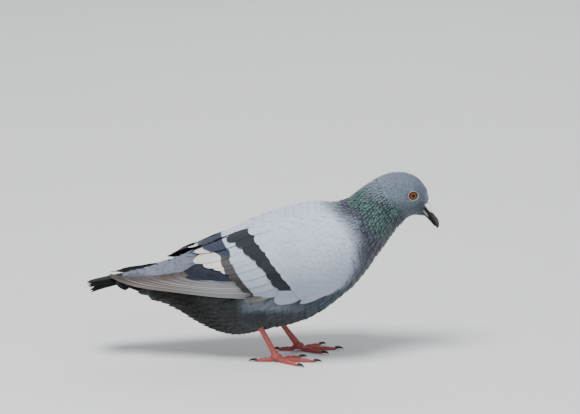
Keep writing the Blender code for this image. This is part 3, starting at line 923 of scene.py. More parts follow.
def leg_look():
    """Scaly skin of leg and foot: dull red, dusty in the joints between the plates."""
    flesh = {"Subsurface_Weight": 0.08, "Subsurface_Radius": (0.002, 0.0007, 0.0004)}
    look, tree, shader = new_material("scaled_leg_skin", Roughness=0.5, IOR=1.45, **flesh)
    scales = node(tree, "ShaderNodeTexVoronoi", {"Scale": 900.0})  # 1.1 mm apart between the plates
    mottle = noise(tree, scale=260.0, detail=3.0)
    red = mixed(tree, mottle, opaque("#96403f"), opaque("#bf605a"))
    dusty = mixed(tree, attribute(tree, "joint", "Fac"), red, opaque("#6b3b36"))
    dress(tree, shader, dusty, relief(tree, scales.outputs["Distance"], strength=0.35, depth=0.3))
    return look


# The stage

FLOOR_HALF = 6.0  # metres


def camera():
    """At the viewing height of a standing person's lens, far off, square to the bird's right side."""
    lens = bpy.data.cameras.new("camera")
    lens.sensor_width, lens.lens, lens.clip_end = 36.0, 276.0, 50.0
    made = add_object("camera", lens)
    aim, distance, height = Vector((0.0243, 0.0, 0.138)), 4.0, math.radians(12.0)
    made.location = aim + distance * Vector((0.0, -math.cos(height), math.sin(height)))
    made.rotation_euler = (math.radians(90.0) - height, 0.0, 0.0)
    bpy.context.scene.camera = made


def light(name, place, size, power, colour=(1.0, 1.0, 1.0)):
    """A round lamp aimed at the bird."""
    lamp = bpy.data.lights.new(name, "AREA")
    lamp.shape, lamp.size, lamp.energy, lamp.color = "DISK", size, power, colour
    made = add_object(name, lamp)
    made.location = place
    made.rotation_euler = (Vector((0, 0, 0.08)) - Vector(place)).to_track_quat("-Z", "Y").to_euler()


def stage():
    """A wide sheet of pale studio paper, three soft lamps and a dim bluish surround."""
    look, tree, shader = new_material("studio_paper", Roughness=0.9)
    fibres = noise(tree, scale=40.0, detail=2.0)
    dress(tree, shader, mixed(tree, fibres, (0.80, 0.80, 0.79, 1), (0.84, 0.84, 0.83, 1)))
    mesh = bpy.data.meshes.new("floor")
    corners = [(x * FLOOR_HALF, y * FLOOR_HALF, 0) for x, y in ((-1, -1), (1, -1), (1, 1), (-1, 1))]
    mesh.from_pydata(corners, [], [(0, 1, 2, 3)])
    mesh.materials.append(look)
    add_object("floor", mesh)
    world = bpy.data.worlds.new("studio")
    bpy.context.scene.world = world
    world.use_nodes = True
    surround = world.node_tree.nodes["Background"].inputs
    surround["Color"].default_value, surround["Strength"].default_value = (0.87, 0.93, 1.0, 1.0), 0.44
    light("key", (-0.7, -1.3, 2.9), size=1.4, power=122.0, colour=(1.0, 1.0, 0.99))
    light("fill", (1.8, -1.8, 1.2), size=2.0, power=12.0)
    light("back", (0.3, 2.0, 1.6), size=1.5, power=16.0)


# Forms of this bird

BODY = ("trunk", "neck", "head", "thigh_left", "thigh_right", "tail", "eye_left", "eye_right")
SHIELDS = ("wing_left", "wing_right")
body_form = form_of(reach_of(*BODY), 0)
outer_form = form_of(reach_of(*BODY, *SHIELDS, "tertials_left"), 0)
wing_form = form_of(reach_of(*SHIELDS, "tertials_left", "primaries_left", "primaries_right"), 1)
UNDER_WINGS = ~np.isnan(reach_of(*SHIELDS))


def under_wings(rows, turns):
    """Whether these places of the body lie under a wing."""
    row = np.clip(np.round(rows), 0, len(UNDER_WINGS) - 1).astype(int)
    return UNDER_WINGS[row, np.round(turns / TURN_STEP).astype(int) % len(TURNS)]


# The skin

# How deep the skin lies under the feathers' form at each x of the back: deep under the wings and
# the rump, shallow where the neck and the head leave no room.
SKIN_DEPTH = (
    (-124, 1.6), (-100, 3.5), (56, 4.0), (68, 0.8), (92, 0.8), (104, 1.4), (125, 1.1), (146, 0.0),
)


def skin():
    """One skin under all the feathers, from the tail's root to the bill."""
    rows = np.arange(int(row_at(SKIN_DEPTH[0][0])), len(SECTION_TOPS)).astype(float)
    grid_rows, grid_turns = np.meshgrid(rows, TURNS, indexing="ij")
    points, normals, _, _ = look_up(outer_form, np.minimum(grid_rows, len(SECTION_TOPS) - 1.01), grid_turns)
    points = points - normals * across(SKIN_DEPTH, top_at(rows))[:, None, None]
    count, size = len(rows), len(TURNS)
    flat = np.concatenate([points.reshape(-1, 3), [points[0].mean(0), points[-1].mean(0)]])
    index = np.arange(count * size).reshape(count, size)
    after = np.roll(index, -1, 1)
    faces = np.stack([index[:-1], after[:-1], after[1:], index[1:]], -1).reshape(-1, 4).tolist()
    faces += [(len(flat) - 2, b, a) for a, b in zip(index[0], after[0])]
    faces += [(len(flat) - 1, a, b) for a, b in zip(index[-1], after[-1])]
    mesh = bpy.data.meshes.new("skin")
    mesh.from_pydata((flat * MM).tolist(), [], faces)
    mesh.shade_smooth()
    mesh.materials.append(down_skin())
    own = np.full((1, len(flat)), 0.5)
    # In front the skin lies shallow, so there it has the colour of the feathers' tips.
    shallow = ramp(flat[None, :, 0], 66, 76)
    tint = body_tint(flat[None], 0.5 + 0.5 * shallow, 0 * own, own) * (1 + 0.18 * shallow[..., None])
    paint(mesh, "tint", np.minimum(tint, 1)[0])
    beside, up = unwrap_spot(np.repeat(rows, size), np.tile(TURNS, count))
    place = np.stack([np.append(beside, [0.5, 0.5]), np.append(up, [up.min(), up.max()])], 1)
    unwrap(mesh, place[values_of(mesh.loops, "vertex_index", 1, np.int32)[:, 0]])
    thighs = "thigh_left", "thigh_right"
    finish_piece(add_object("skin", mesh), "body_plumage", *BODY[:3], *SHIELDS, "tertials_left", *thighs)


# The coat of head, neck and body


def eye_place(side):
    """The point of the head's side over the eye, and the ways out, forward and up there."""
    low, high = node_box("eye_left" if side > 0 else "eye_right")
    x, z = (low[0] + high[0]) / 2, (low[2] + high[2]) / 2
    points, normals, way, _, _ = trace(outer_form, [(x, z)], [(x - 1, z)], side, np.array([0.0, 1.0]))
    out, fore = normals[0, 0], -way[0, 0]
    return points[0, 0], out, fore, np.cross(out, fore) * side


BARE_SKIN = (5.6, 4.15)  # half the length and height of the bare skin round an eye


def head_coat(look):
    """The smallest feathers, from the bill back to the nape, leaving the eyes' bare rims free."""
    coat = Coat("coat_head", "small")
    parts = rows_of(outer_form, "head")
    roots = look_up(outer_form, parts[0], parts[1])[0]
    clear = np.ones(len(roots), bool)
    for side in SIDES.values():
        place, *ways = eye_place(side)
        out, fore, above = ((roots - place) @ way for way in ways)
        ring = np.hypot((fore - 0.9) / BARE_SKIN[0], above / BARE_SKIN[1])
        clear &= ~((abs(out) < 6) & (ring < 1))
    rows, turns, length, width = parts[:, clear]
    line = walk(outer_form, rows, turns, length, coat.v)
    brow = 0.3 * ramp(top_at(rows), 144, 148)
    tip = brow + rng.uniform(-0.05, 0.3, len(rows))
    lay(coat, line, body_tint, width=width, root=brow - 0.9, tip=tip, crown=0.25)
    coat.build(look, "head_plumage")


def front_grid(tree, sides, heights, spacing):
    """How far forward the solid reaches at each side and height, and its slopes."""
    found = np.full((len(sides), len(heights)), np.nan)
    for row, y in enumerate(sides):
        for column, z in enumerate(heights):
            hit = tree.ray_cast(Vector((200, y, z)), Vector((-1, 0, 0)))
            if hit[0]:
                found[row, column] = hit[0].x
    found = blur(blur(fill_gaps(found, 0), 2.0, 0), 2.0, 1)
    return np.stack([found, *np.gradient(found, spacing)], -1)


def forehead(look):
    """The small feathers that rise from the cere over the steep front of the head."""
    coat = Coat("coat_forehead", "small")
    cell, pitch = 0.5, 0.95
    sides, heights = np.arange(-8.0, 8.1, cell), np.arange(136.0, 158.1, cell)
    grid = front_grid(solid_tree("head"), sides, heights, cell)
    roots = np.meshgrid(np.arange(140.3, 152.5, pitch), np.arange(-5.0, 5.1, pitch))
    z, y = (part.ravel() for part in roots)
    free = abs(y) <= np.interp(z, (140, 147), (1.8, 4.4))
    z, y = (part[free] + rng.uniform(-0.3, 0.3, free.sum()) for part in (z, y))
    z, y = z[:, None] + 3.2 * coat.v, y[:, None] * (1 + 0.12 * coat.v)
    found = between(grid, (y - sides[0]) / cell, (z - heights[0]) / cell)
    front, slope_y, slope_z = np.moveaxis(found, -1, 0)
    # The cere takes the room in front of the lowest ones.
    points = np.stack([front - 1.9 * ramp(146 - z, 0, 5) - 0.07 * y**2, y, z], -1)
    normals = unit(np.stack([np.ones(y.shape), -slope_y, -slope_z], -1))
    way = unit(np.gradient(points, coat.v, axis=1))
    line = points, normals, way, np.full(len(y), row_at(148.0)), 90.0 - 12.0 * y[:, 0]
    lay(coat, line, body_tint, width=1.7, root=-0.6, tip=rng.uniform(0.0, 0.3, len(y)), crown=0.25)
    coat.build(look, "head_plumage")


# The upper and front edge of the wings' shields in side view: x, z.
SHIELD_EDGE = np.array([
    (20.0, 150.0), (36.0, 146.0), (48.0, 140.0), (60.0, 135.0), (70.0, 130.0), (80.0, 117.0),
    (86.0, 104.0), (87.0, 92.0), (85.0, 80.0), (76.0, 68.0), (60.0, 60.0), (30.0, 57.0),
])
OVERLAP_BACK = 44.0  # the x behind which a wing lies over the body's feathers, not under them


def past_shield(points):
    """Millimetres over or before the edge of a wing's shield in side view, negative on the shield."""
    spots = points[..., [0, 2]][..., None, :]
    starts, runs = SHIELD_EDGE[:-1], np.diff(SHIELD_EDGE, axis=0)
    share = ((spots - starts) * runs).sum(-1) / (runs**2).sum(-1)
    off = spots - starts - np.clip(share, 0, 1)[..., None] * runs
    away = np.linalg.norm(off, axis=-1)
    nearest = np.argmin(away, axis=-1)[..., None]
    turned = off[..., 1] * runs[:, 0] - off[..., 0] * runs[:, 1]
    away, turned = (np.take_along_axis(part, nearest, -1)[..., 0] for part in (away, turned))
    return away * np.sign(turned)


def overlap_shield(rows, turns, length, width):
    """Leaves out vanes that root well on a wing, and shortens those that would reach far over it.

    What is left lies over the wing's front edge, as the feathers of a neck and breast do. The last
    value says how far each vane reaches over it, from 0 to 1.
    """
    front = rows > row_at(OVERLAP_BACK)
    inside = past_shield(look_up(outer_form, rows, turns)[0]) < -1.5
    free = ~(under_wings(rows, turns) & front & inside)
    rows, turns, length, width, front = (part[free] for part in (rows, turns, length, width, front))
    for _ in range(5):
        tips = rows - length / ROW_STEP
        points = look_up(outer_form, tips, turns)[0]
        deep = past_shield(points) < np.interp(points[:, 2], (68, 80), (-2.0, -6.0))
        length = np.where(deep & under_wings(tips, turns) & front, length * 0.86, length)
    tips = rows - length / ROW_STEP
    beyond = past_shield(look_up(outer_form, tips, turns)[0])
    return rows, turns, length, width, ramp(-beyond, -3, 1) * under_wings(tips, turns) * front


def neck_coat(look):
    """Glossy pointed hackles, each dark at its root."""
    coat = Coat("coat_neck", "middle")
    rows, turns, length, width, over = overlap_shield(*rows_of(outer_form, "neck"))
    line = walk(outer_form, rows, turns, length, coat.v)
    tip = rng.uniform(0.2, 0.9, len(rows)) * (1 - 0.7 * over)
    lay(coat, line, body_tint, width=width, root=-1.7, tip=tip, crown=0.35, blunt=1.5)
    coat.build(look, "neck_plumage")


def body_coat(look):
    """Breast, flanks, belly, rump and the coverts over and under the tail."""
    coat = Coat("coat_body", "middle")
    share = ramp(SECTION_TOPS, 40, 54)[:, None, None]
    form = body_form * (1 - share) + outer_form * share
    # At the tail's root only the coverts under it go on.
    parts = rows_of(form, "body", lambda x: (0, 360) if x > -107 else (178, 362))
    rows, turns = parts[:2]
    roots = look_up(form, rows, turns)[0]
    in_front = (past_shield(roots) > -3) & (roots[:, 0] > 38) & (np.sin(np.radians(turns)) > -0.2)
    hidden = under_wings(rows + 4, turns) & under_wings(rows - 2, turns) & ~in_front
    hidden |= (rows > row_at(-42)) & (abs(turns - 90) < 50) & (rows < row_at(67))
    rows, turns, length, width, over = overlap_shield(*parts[:, ~hidden])
    line = walk(form, rows, turns, length, coat.v)
    fluffy = rng.uniform(-0.2, 0.6, len(rows)) + 0.8 * ramp(-top_at(rows), 0, 60)
    lay(coat, line, body_tint, width=width, root=-2.6, tip=fluffy + 0.3 * over, crown=0.2, blunt=2.2)
    coat.build(look, "body_plumage")


# How far the mantle reaches down the left and the right side, in degrees, at each x.
MANTLE_LEFT = ((-44, 32), (-10, 34), (12, 36), (24, 39), (66, 40))
MANTLE_RIGHT = ((-44, 10), (-10, 11), (12, 22), (24, 37), (66, 40))


def mantle_range(x):
    return 90 - across(MANTLE_LEFT, x), 90 + across(MANTLE_RIGHT, x)


def mantle(look):
    """Mantle and scapulars, which lie over the wings' upper edges, and the back between the wings."""
    coat = Coat("scapulars", "middle")
    rows, turns, length, width = rows_of(outer_form, "mantle", mantle_range)
    tip = np.interp(top_at(rows), (-10, 20), (0.1, 1.3))
    line = walk(outer_form, rows, turns, length, coat.v)
    lay(coat, line, pale_tint, width=width, root=-0.7, tip=tip, crown=0.12)
    coat.build(look, "wing_covert_plumage")


THIGH_RADII = np.array([12.5, 11.0, 16.0])
THIGH_VANE = 9.0 / 14.0  # the turn that one of its feathers spans, in radians
THIGH_SPACING = 4.0


def thigh_coat(look):
    """Soft feathers that run down each thigh and end round the bare leg."""
    coat = Coat("coat_thighs", "middle")
    for name, side in SIDES.items():
        low, high = node_box("thigh_" + name)
        middle = np.array([(low[0] + high[0]) / 2, (low[1] + high[1]) / 2, high[2] - THIGH_RADII[2]])
        starts, spots = [], []
        for ring, polar in enumerate(np.radians(np.arange(55.0, 150.0, 13.0))):
            count = int(2 * math.pi * 11.5 * math.sin(polar) / THIGH_SPACING)
            for place in (np.arange(count) + 0.5 * (ring % 2)) / count * 2 * math.pi:
                starts.append(polar + rng.uniform(-0.06, 0.06))
                spots.append(place + rng.uniform(-0.1, 0.1))
        polar = np.minimum(np.array(starts)[:, None] + coat.v * THIGH_VANE, math.radians(168))
        spots = np.array(spots)[:, None]
        shell = np.stack([np.sin(polar) * np.cos(spots), np.sin(polar) * np.sin(spots), np.cos(polar)], -1)
        down = np.stack([np.cos(polar) * np.cos(spots), np.cos(polar) * np.sin(spots), -np.sin(polar)], -1)
        points = middle + shell * THIGH_RADII
        rows = np.full(len(starts), row_at(middle[0])) + points[:, 0, 0] - middle[0]
        turns = np.where(side > 0, 320.0, 220.0) + 8 * np.sin(spots[:, 0])
        line = points, unit(shell / THIGH_RADII), unit(down * THIGH_RADII), rows, turns
        lay(coat, line, thigh_shade_tint, width=7.5, root=-1.0, tip=0.7, crown=0.2, blunt=2.2)
    coat.build(look, "thigh_plumage")


# The tail

TAIL_DROOP = (0.0, 0.2, 1.0, 1.2, 2.7, 3.1)  # of each pair at the tip, from the middle outwards
TAIL_ROOT = -96.0
TAIL_FEATHER_WIDTH = 14.5
QUILL_THICK = 0.5


def tops_under(solid, line):
    """The solid's height at each point of a line seen from above, and its tilt forward and left."""
    beside = ((0, 0), (2, 0), (0, 2), (-2, 0), (0, -2))
    heights = []
    for x, y in line:
        tops = [solid.ray_cast(Vector((x + a, y + b, 300)), DOWN)[0] for a, b in beside]
        heights.append([p.z if p else np.nan for p in tops])
    top, fore, left, back, right = blur(fill_gaps(np.array(heights), 0), 1.2, 0).T
    return top, (fore - back) / 4, (left - right) / 4


def tail(look):
    """Twelve tail feathers, each pair under the one nearer the middle."""
    coat = Coat("tail_feathers", "long", marked=True)
    solid = solid_tree("tail", "trunk")
    low, high = node_box("tail")
    half = high[1] - 5.4  # between the middle and the outermost shaft, at the tips
    for pair in range(5, -1, -1):
        for side in SIDES.values():
            tip_x = low[0] - 0.8 + 3.5 * (pair / 5) ** 2 + rng.uniform(0, 1.8)
            tip = np.array([tip_x, side * half * (pair + 0.5) / 5.5])
            root = np.array([TAIL_ROOT, side * (1.0 + 0.9 * pair)])
            share = np.stack([coat.v, coat.v**0.8], 1)
            line = root + (tip - root) * share
            top, tilt_x, tilt_y = tops_under(solid, line)
            drop = 0.2 + 0.35 * pair + TAIL_DROOP[pair] * coat.v**5
            points = np.column_stack([line, top - drop])
            way = unit(np.gradient(points, axis=0))
            normals = square_to(way, unit(np.column_stack([-tilt_x, -tilt_y, np.ones(len(line))])))
            spot = unwrap_spot(np.array([row_at(-110.0)]), np.array([90.0 - side * (10 + 12 * pair)]))
            coat.add(points[None], normals[None], way[None], TAIL_FEATHER_WIDTH, tail_tint, spot, lead=-side,
                     outer=0.5 + 0.1 * (5 - pair), crown=0.03, blunt=2.4, thick=QUILL_THICK, narrow=0.55)
    coat.build(look, "tail_plumage", "tail")


# The wings


def along_line(line, pitch):
    """Points at an even pitch along a polyline, as (x, z), with their share of the way."""
    line = np.array(line)
    run = run_of(line)
    count = max(int(round(run[-1] / pitch)), 2)
    places = (np.arange(count) + 0.5) / count * run[-1]
    return resample(line, run, places), places / run[-1]


def at_share(line, share):
    """The points of a polyline at shares of its length."""
    line = np.array(line)
    run = run_of(line)
    return resample(line, run, share * run[-1])


# Where the quills end in side view, x and z, from the outermost to the innermost.
PRIMARY_TIPS = np.array([
    (-139.0, 76.6), (-137.5, 77.0), (-132.0, 76.4), (-126.5, 77.2), (-119.0, 77.6),
    (-110.0, 78.3), (-101.0, 79.0), (-92.5, 80.3), (-84.0, 81.8), (-75.0, 83.3),
])
SLATE_TIPS = np.array([(-72.0, 83.5), (-67.0, 87.0), (-60.0, 85.5), (-50.0, 84.0)])
SECONDARY_TIPS = np.array([
    (-67.0, 104.5), (-61.5, 99.5), (-61.5, 94.0), (-53.0, 92.0), (-45.0, 91.0), (-37.5, 88.5),
    (-30.0, 83.0), (-24.0, 77.5), (-19.5, 72.5), (-12.0, 69.5), (-4.0, 68.0),
])
FAR_TERTIAL_TIPS = np.array([(-87.0, 88.0), (-80.0, 91.5), (-71.0, 96.0), (-62.5, 100.0)])
WRIST_COVERT_TIPS = np.array([(-17.0, 61.6), (-11.0, 63.8), (-4.0, 66.0)])
THUMB_TIPS = np.array([(33.0, 60.0), (37.0, 63.5)])
# Where the pale coverts end behind, and where they begin in front.
COVERT_TIPS = (
    (-15.0, 121.0), (-11.5, 117.8), (-5.7, 112.6), (5.0, 100.6), (11.8, 91.3), (23.0, 78.3),
    (30.0, 68.0), (36.0, 60.5),
)
SHIELD_FRONT = (
    (40.0, 138.0), (56.0, 131.0), (68.0, 121.0), (76.0, 106.0), (75.5, 90.0), (68.0, 76.0), (57.0, 65.0),
)
STIFF = {"thick": QUILL_THICK, "unrest": 0.0}
COVERT_THICK = 0.4
COVERT_ROWS = 13


def plume(coat, side, roots, tips, tint, form=wing_form, bow=0.0, **shape):
    """Vanes on one wing, given by their two ends in side view."""
    lay(coat, trace(form, roots, tips, side, coat.v, bow), tint, lead=-side, **shape)


def primaries(name, side, look):
    """Ten long quills whose leading edges lie one above another."""
    coat = Coat("primaries_" + name, "long", marked=True)
    stack = np.arange(len(PRIMARY_TIPS))
    roots = np.stack([np.full(len(stack), -2.0), 63.0 + 2.0 * stack], 1)
    plume(coat, side, roots, PRIMARY_TIPS, primary_tint, width=13.5, root=-2.6, tip=0.10 + 0.12 * stack,
          bow=-0.012, outer=0.5, roll=0.14, crown=0.02, narrow=0.6, **STIFF)
    coat.build(look, "flight_plumage", "primaries_" + name)


def secondaries(name, side, look):
    """The dark quills below, the barred ones over them, and the inner ones with cream ends."""
    coat = Coat("secondaries_" + name, "long", marked=True)
    tip = 0.9 - 0.05 * np.arange(len(SLATE_TIPS))
    plume(coat, side, SLATE_TIPS + (62.0, 9.0), SLATE_TIPS, slate_tint, width=15.0, root=-2.2, tip=tip,
          roll=0.06, crown=0.04, blunt=3.4, **STIFF)
    share = np.linspace(0, 1, len(SECONDARY_TIPS))
    roots = SECONDARY_TIPS + np.stack([58.0 - 8 * share, 23.0 - 5 * share], 1)
    plume(coat, side, roots, SECONDARY_TIPS, secondary_tint, width=17.0, root=-1.6, tip=1.5 - 0.8 * share,
          roll=0.07, crown=0.05, blunt=3.4, **STIFF)
    coat.build(look, "wing_covert_plumage")


def greater_coverts(name, side, look):
    """The small brown coverts at the wrist, and over them those that form the front bar."""
    coat = Coat("greater_coverts_" + name, "long", marked=True)
    plume(coat, side, WRIST_COVERT_TIPS + (27.0, 3.0), WRIST_COVERT_TIPS, brown_tint, width=6.5,
          root=-2.8, tip=0.9, blunt=3.0, thick=COVERT_THICK)
    # The bar's feathers end on one line; on the left wing the mantle covers more of its upper end.
    ends = [(x, z) for z, x in reversed(FRONT_BAR_REAR)] + [(11.5, 66.0), (9.0, 59.0)]
    tips, share = along_line(ends[1:] if side < 0 else ends[2:], 7.6)
    tips = tips + rng.uniform(-0.8, 0.8, tips.shape)
    roots = tips + np.stack([27.0 + 0 * share, 13.0 - 8 * share], 1)
    plume(coat, side, roots, tips, bar_tint, width=16.0, root=-1.0, tip=1.6, roll=0.04, crown=0.05,
          blunt=4.0, thick=COVERT_THICK)
    coat.build(look, "wing_covert_plumage")


def coverts(name, side, look):
    """The pale shield, in rows that grow smaller towards the front, and the thumb's coverts."""
    coat = Coat("coverts_" + name, "middle")
    rear, front = (at_share(line, np.linspace(0, 1, 60)) for line in (COVERT_TIPS, SHIELD_FRONT))
    for part in np.arange(COVERT_ROWS) / (COVERT_ROWS - 1):
        pitch = 7.4 - 2.8 * part
        tips, share = along_line(rear + (front - rear) * part, pitch)
        way = unit(at_share(SHIELD_FRONT, share) - at_share(COVERT_TIPS, share)) + (0.0, 0.22)
        tips = tips + rng.uniform(-0.5, 0.5, tips.shape)
        # Those in front follow the wing down to the breast, so that no hollow opens under them.
        form = outer_form if part > 0.45 else wing_form
        roots = tips + unit(way) * (24.0 - 12.0 * part)
        width = pitch * (2.3 - 0.4 * part)
        plume(coat, side, roots, tips, shield_tint, form, width=width, root=-0.9, tip=1.5 - 1.1 * part,
              roll=0.03, crown=0.08, blunt=4.5 - 1.9 * part)
    plume(coat, side, THUMB_TIPS + (22.0, 5.0), THUMB_TIPS, shield_tint, width=8.0, root=-0.6, tip=1.9,
          crown=0.12, blunt=2.4, thick=COVERT_THICK)
    coat.build(look, "wing_covert_plumage")


def far_tertials(look):
    """The left wing's inner quills, which lie open over the rump."""
    coat = Coat("tertials_left_quills", "long", marked=True)
    tip = 1.6 + 0.2 * np.arange(len(FAR_TERTIAL_TIPS))
    plume(coat, 1, FAR_TERTIAL_TIPS + (58.0, 14.0), FAR_TERTIAL_TIPS, far_tertial_tint, width=15.0,
          root=-1.4, tip=tip, roll=0.05, crown=0.05, blunt=3.2, **STIFF)
    coat.build(look, "wing_covert_plumage")


# Eyes, bill and legs

UP = np.array([0.0, 0.0, 1.0])
LEFT = np.array([0.0, 1.0, 0.0])
EYEBALL_RADIUS = 6.0
EYEBALL_RISE = 0.85  # how far the eye stands out of the head's side
LID_RADIUS = 3.85  # of the opening between the lids
LID_WIDTH, LID_THICK = 0.30, 0.62  # half the rim's section, across and outwards
LID_SWELL = 0.42  # what the width gains in front of the eye and above it
LID_GREY, LID_DARK = linear("#a3a5a3"), linear("#1c1a1a")
BILL_ROOT = np.array([145.6, 0.0, 136.0])
BILL_PITCH = math.radians(53.0)
BILL_WAY = np.array([math.cos(BILL_PITCH), 0.0, -math.sin(BILL_PITCH)])
BILL_UP = np.array([math.sin(BILL_PITCH), 0.0, math.cos(BILL_PITCH)])
BILL_STEPS, BILL_SIDES = 60, 36
# Rows of distance along the bill, height of the lower and upper edge, and half width.
UPPER_BILL = (
    (-1.5, -0.4, 1.7, 4.4), (2.0, -0.4, 1.9, 3.8), (4.8, -0.5, 2.3, 3.1), (6.0, -0.5, 3.5, 2.7),
    (8.0, -0.6, 4.0, 2.35), (10.0, -0.7, 3.95, 2.15), (12.5, -0.9, 4.15, 2.2), (15.0, -1.0, 3.95, 2.0),
    (17.5, -1.2, 3.1, 1.6), (19.4, -1.5, 1.7, 1.0), (20.7, -1.6, 0.1, 0.45),
)
LOWER_BILL = (
    (-0.5, -4.2, -0.2, 4.2), (4.0, -3.9, -0.3, 3.3), (8.0, -3.1, -0.4, 2.3), (12.0, -2.7, -0.6, 1.8),
    (15.5, -2.6, -0.9, 1.3), (18.2, -2.1, -1.2, 0.6),
)
CERE_LOBE = (
    (-4.4, 2.3, 5.2, 1.6), (-2.8, 2.2, 6.0, 2.3), (-0.8, 2.1, 6.2, 2.6), (1.4, 2.0, 6.1, 2.55),
    (3.4, 2.1, 5.5, 2.2), (4.8, 2.5, 4.7, 1.4), (5.4, 3.0, 3.9, 0.6),
)
RIDGE_HEIGHT = ((4.0, 3.3), (8.0, 2.3), (12.0, 1.8), (15.5, 1.3), (18.2, 0.6))  # above which the ridge carries a painted highlight
BILL_BLACK, BILL_TIP, BILL_RIDGE_HIGHLIGHT = linear("#1a1a1c"), linear("#100f10"), linear("#504e4b")
BILL_UNDER, BILL_GAPE = linear("#121111"), linear("#96938a")


def full_turn(count):
    return np.linspace(0, 2 * math.pi, count, endpoint=False)


def left_of(way):
    return np.array([-way[1], way[0], 0.0])


def loft_grid(rings, close_ends=True):
    """Points and quads over (rings, sides, 3) points; the ends close onto their middles."""
    rings = np.asarray(rings)
    if close_ends:
        first, last = (np.broadcast_to(rings[k].mean(0), rings[k].shape) for k in (0, -1))
        rings = np.concatenate([[first], rings, [last]])
    count, sides = rings.shape[:2]
    index = np.arange(count * sides).reshape(count, sides)
    after = np.roll(index, -1, 1)
    quads = np.stack([index[:-1], index[1:], after[1:], after[:-1]], -1).reshape(-1, 4)
    return rings.reshape(-1, 3), quads


def eyeball(name, side, look):
    """The part of the eyeball that shows between the lids, closed behind them."""
    place, out, fore, up = eye_place(side)
    middle = place + out * (EYEBALL_RISE - EYEBALL_RADIUS)
    polar = np.concatenate([np.linspace(0.02, 0.8, 36), np.linspace(0.85, math.pi - 0.05, 16)])
    turn = full_turn(48)
    circle = np.cos(turn)[:, None] * fore + np.sin(turn)[:, None] * up
    rings = EYEBALL_RADIUS * (np.sin(polar)[:, None, None] * circle + np.cos(polar)[:, None, None] * out)
    # Behind the lids the ball is drawn in, clear of the narrowing face.
    rings = rings * (1 - 0.4 * ramp(polar, 0.76, 1.05))[:, None, None]
    points, quads = loft_grid(rings + middle)
    ball = mesh_piece("eyeball_" + name, points, quads[:, ::side], look)
    off = points - middle
    spot = np.stack([off @ fore, off @ up], 1)
    radius = np.where(off @ out > 0, np.hypot(*spot.T), 9.0)
    iris = np.column_stack([radius, spot / np.maximum(radius, 0.3)[:, None] * 3])
    keep_vectors(ball.data, "iris", iris)
    finish_piece(ball, "eye_surface", "eye_" + name)


def eyelids(name, side, look):
    """The bare rim of skin round the eye, widest in front of it and above it."""
    place, out, fore, up = eye_place(side)
    surface = math.sqrt(EYEBALL_RADIUS**2 - (LID_RADIUS + 0.5) ** 2)
    middle = place + out * (EYEBALL_RISE - EYEBALL_RADIUS)
    section = full_turn(20)
    rings = []
    for angle in full_turn(72):
        swell = LID_SWELL * max(math.cos(angle - math.radians(45)), 0)
        wide = LID_WIDTH + swell + 0.03 * math.sin(17 * angle)
        reach = LID_RADIUS + wide + 0.05 + 0.12 * math.cos(angle) ** 2
        spoke = math.cos(angle) * fore + math.sin(angle) * up * 0.95
        centre = middle + spoke * reach + out * (surface + 0.02)
        ripple = 1 + 0.06 * np.sin(3 * section + 9 * angle)
        flat = spoke * (wide * ripple * np.cos(section))[:, None]
        rings.append(centre + flat + out * (LID_THICK * ripple * np.sin(section))[:, None])
    points, quads = loft_grid(rings + rings[:1], close_ends=False)
    rim = mesh_piece("eyelids_" + name, points, quads[:, ::side], look)
    tint = mix(LID_GREY, LID_DARK, ramp(-np.cos(section), 0.55, 0.9))
    paint(rim.data, "tint", np.tile(tint, (len(rings) + 1, 1)))
    finish_piece(rim, "eye_surface")


def bill_piece(name, rows, look, slot, *nodes, middle=0.0):
    """A smooth loft through rows. It gives its mesh, and how far along and how high its points lie."""
    rows = np.array(rows)
    along = np.linspace(rows[0, 0], rows[-1, 0], BILL_STEPS)
    edges = (np.interp(along, rows[:, 0], rows[:, k]) for k in (1, 2, 3))
    low, high, half = (blur(edge, BILL_STEPS * 0.03, 0)[:, None] for edge in edges)
    turn = full_turn(BILL_SIDES)
    # Between an ellipse and a box, as a bill is.
    cosine, sine = (np.sign(part) * abs(part) ** 0.85 for part in (np.cos(turn), np.sin(turn)))
    side = middle + half * cosine
    height = (low + high) / 2 + (high - low) / 2 * sine
    rings = BILL_ROOT + BILL_WAY * along[:, None, None]
    rings = rings + BILL_UP * height[..., None] + LEFT * side[..., None]
    points, quads = loft_grid(rings)
    piece = mesh_piece(name, points, quads[:, ::-1], look)
    finish_piece(piece, slot, *nodes)
    off = points - BILL_ROOT
    return piece.data, off @ BILL_WAY, off @ BILL_UP


def bill(horn):
    """Both halves of the bill, the lower one with a pale gape, and the two lobes of the cere."""
    upper, along, height = bill_piece("bill_upper_sheath", UPPER_BILL, horn, "bill_horn", "bill_upper")
    # A painted highlight along the top of the ridge, on horn that darkens towards the tip.
    edging = ramp(height - across(RIDGE_HEIGHT, along), -0.3, 0.1)
    shade = mix(BILL_BLACK, BILL_TIP, ramp(along, 12, 19))
    paint(upper, "tint", mix(shade, BILL_RIDGE_HIGHLIGHT, 0.6 * edging))
    lower, along, height = bill_piece("bill_lower_sheath", LOWER_BILL, horn, "bill_horn", "bill_lower")
    pale = ramp(height, -2.6, -1.6) * ramp(-along, -8, -4)
    paint(lower, "tint", mix(BILL_UNDER, BILL_GAPE, pale))
    powder = cere_look()
    for name, side in SIDES.items():
        nodes = ("cere",) if side > 0 else ()
        bill_piece("cere_" + name, CERE_LOBE, powder, "cere_skin", *nodes, middle=side * 1.75)


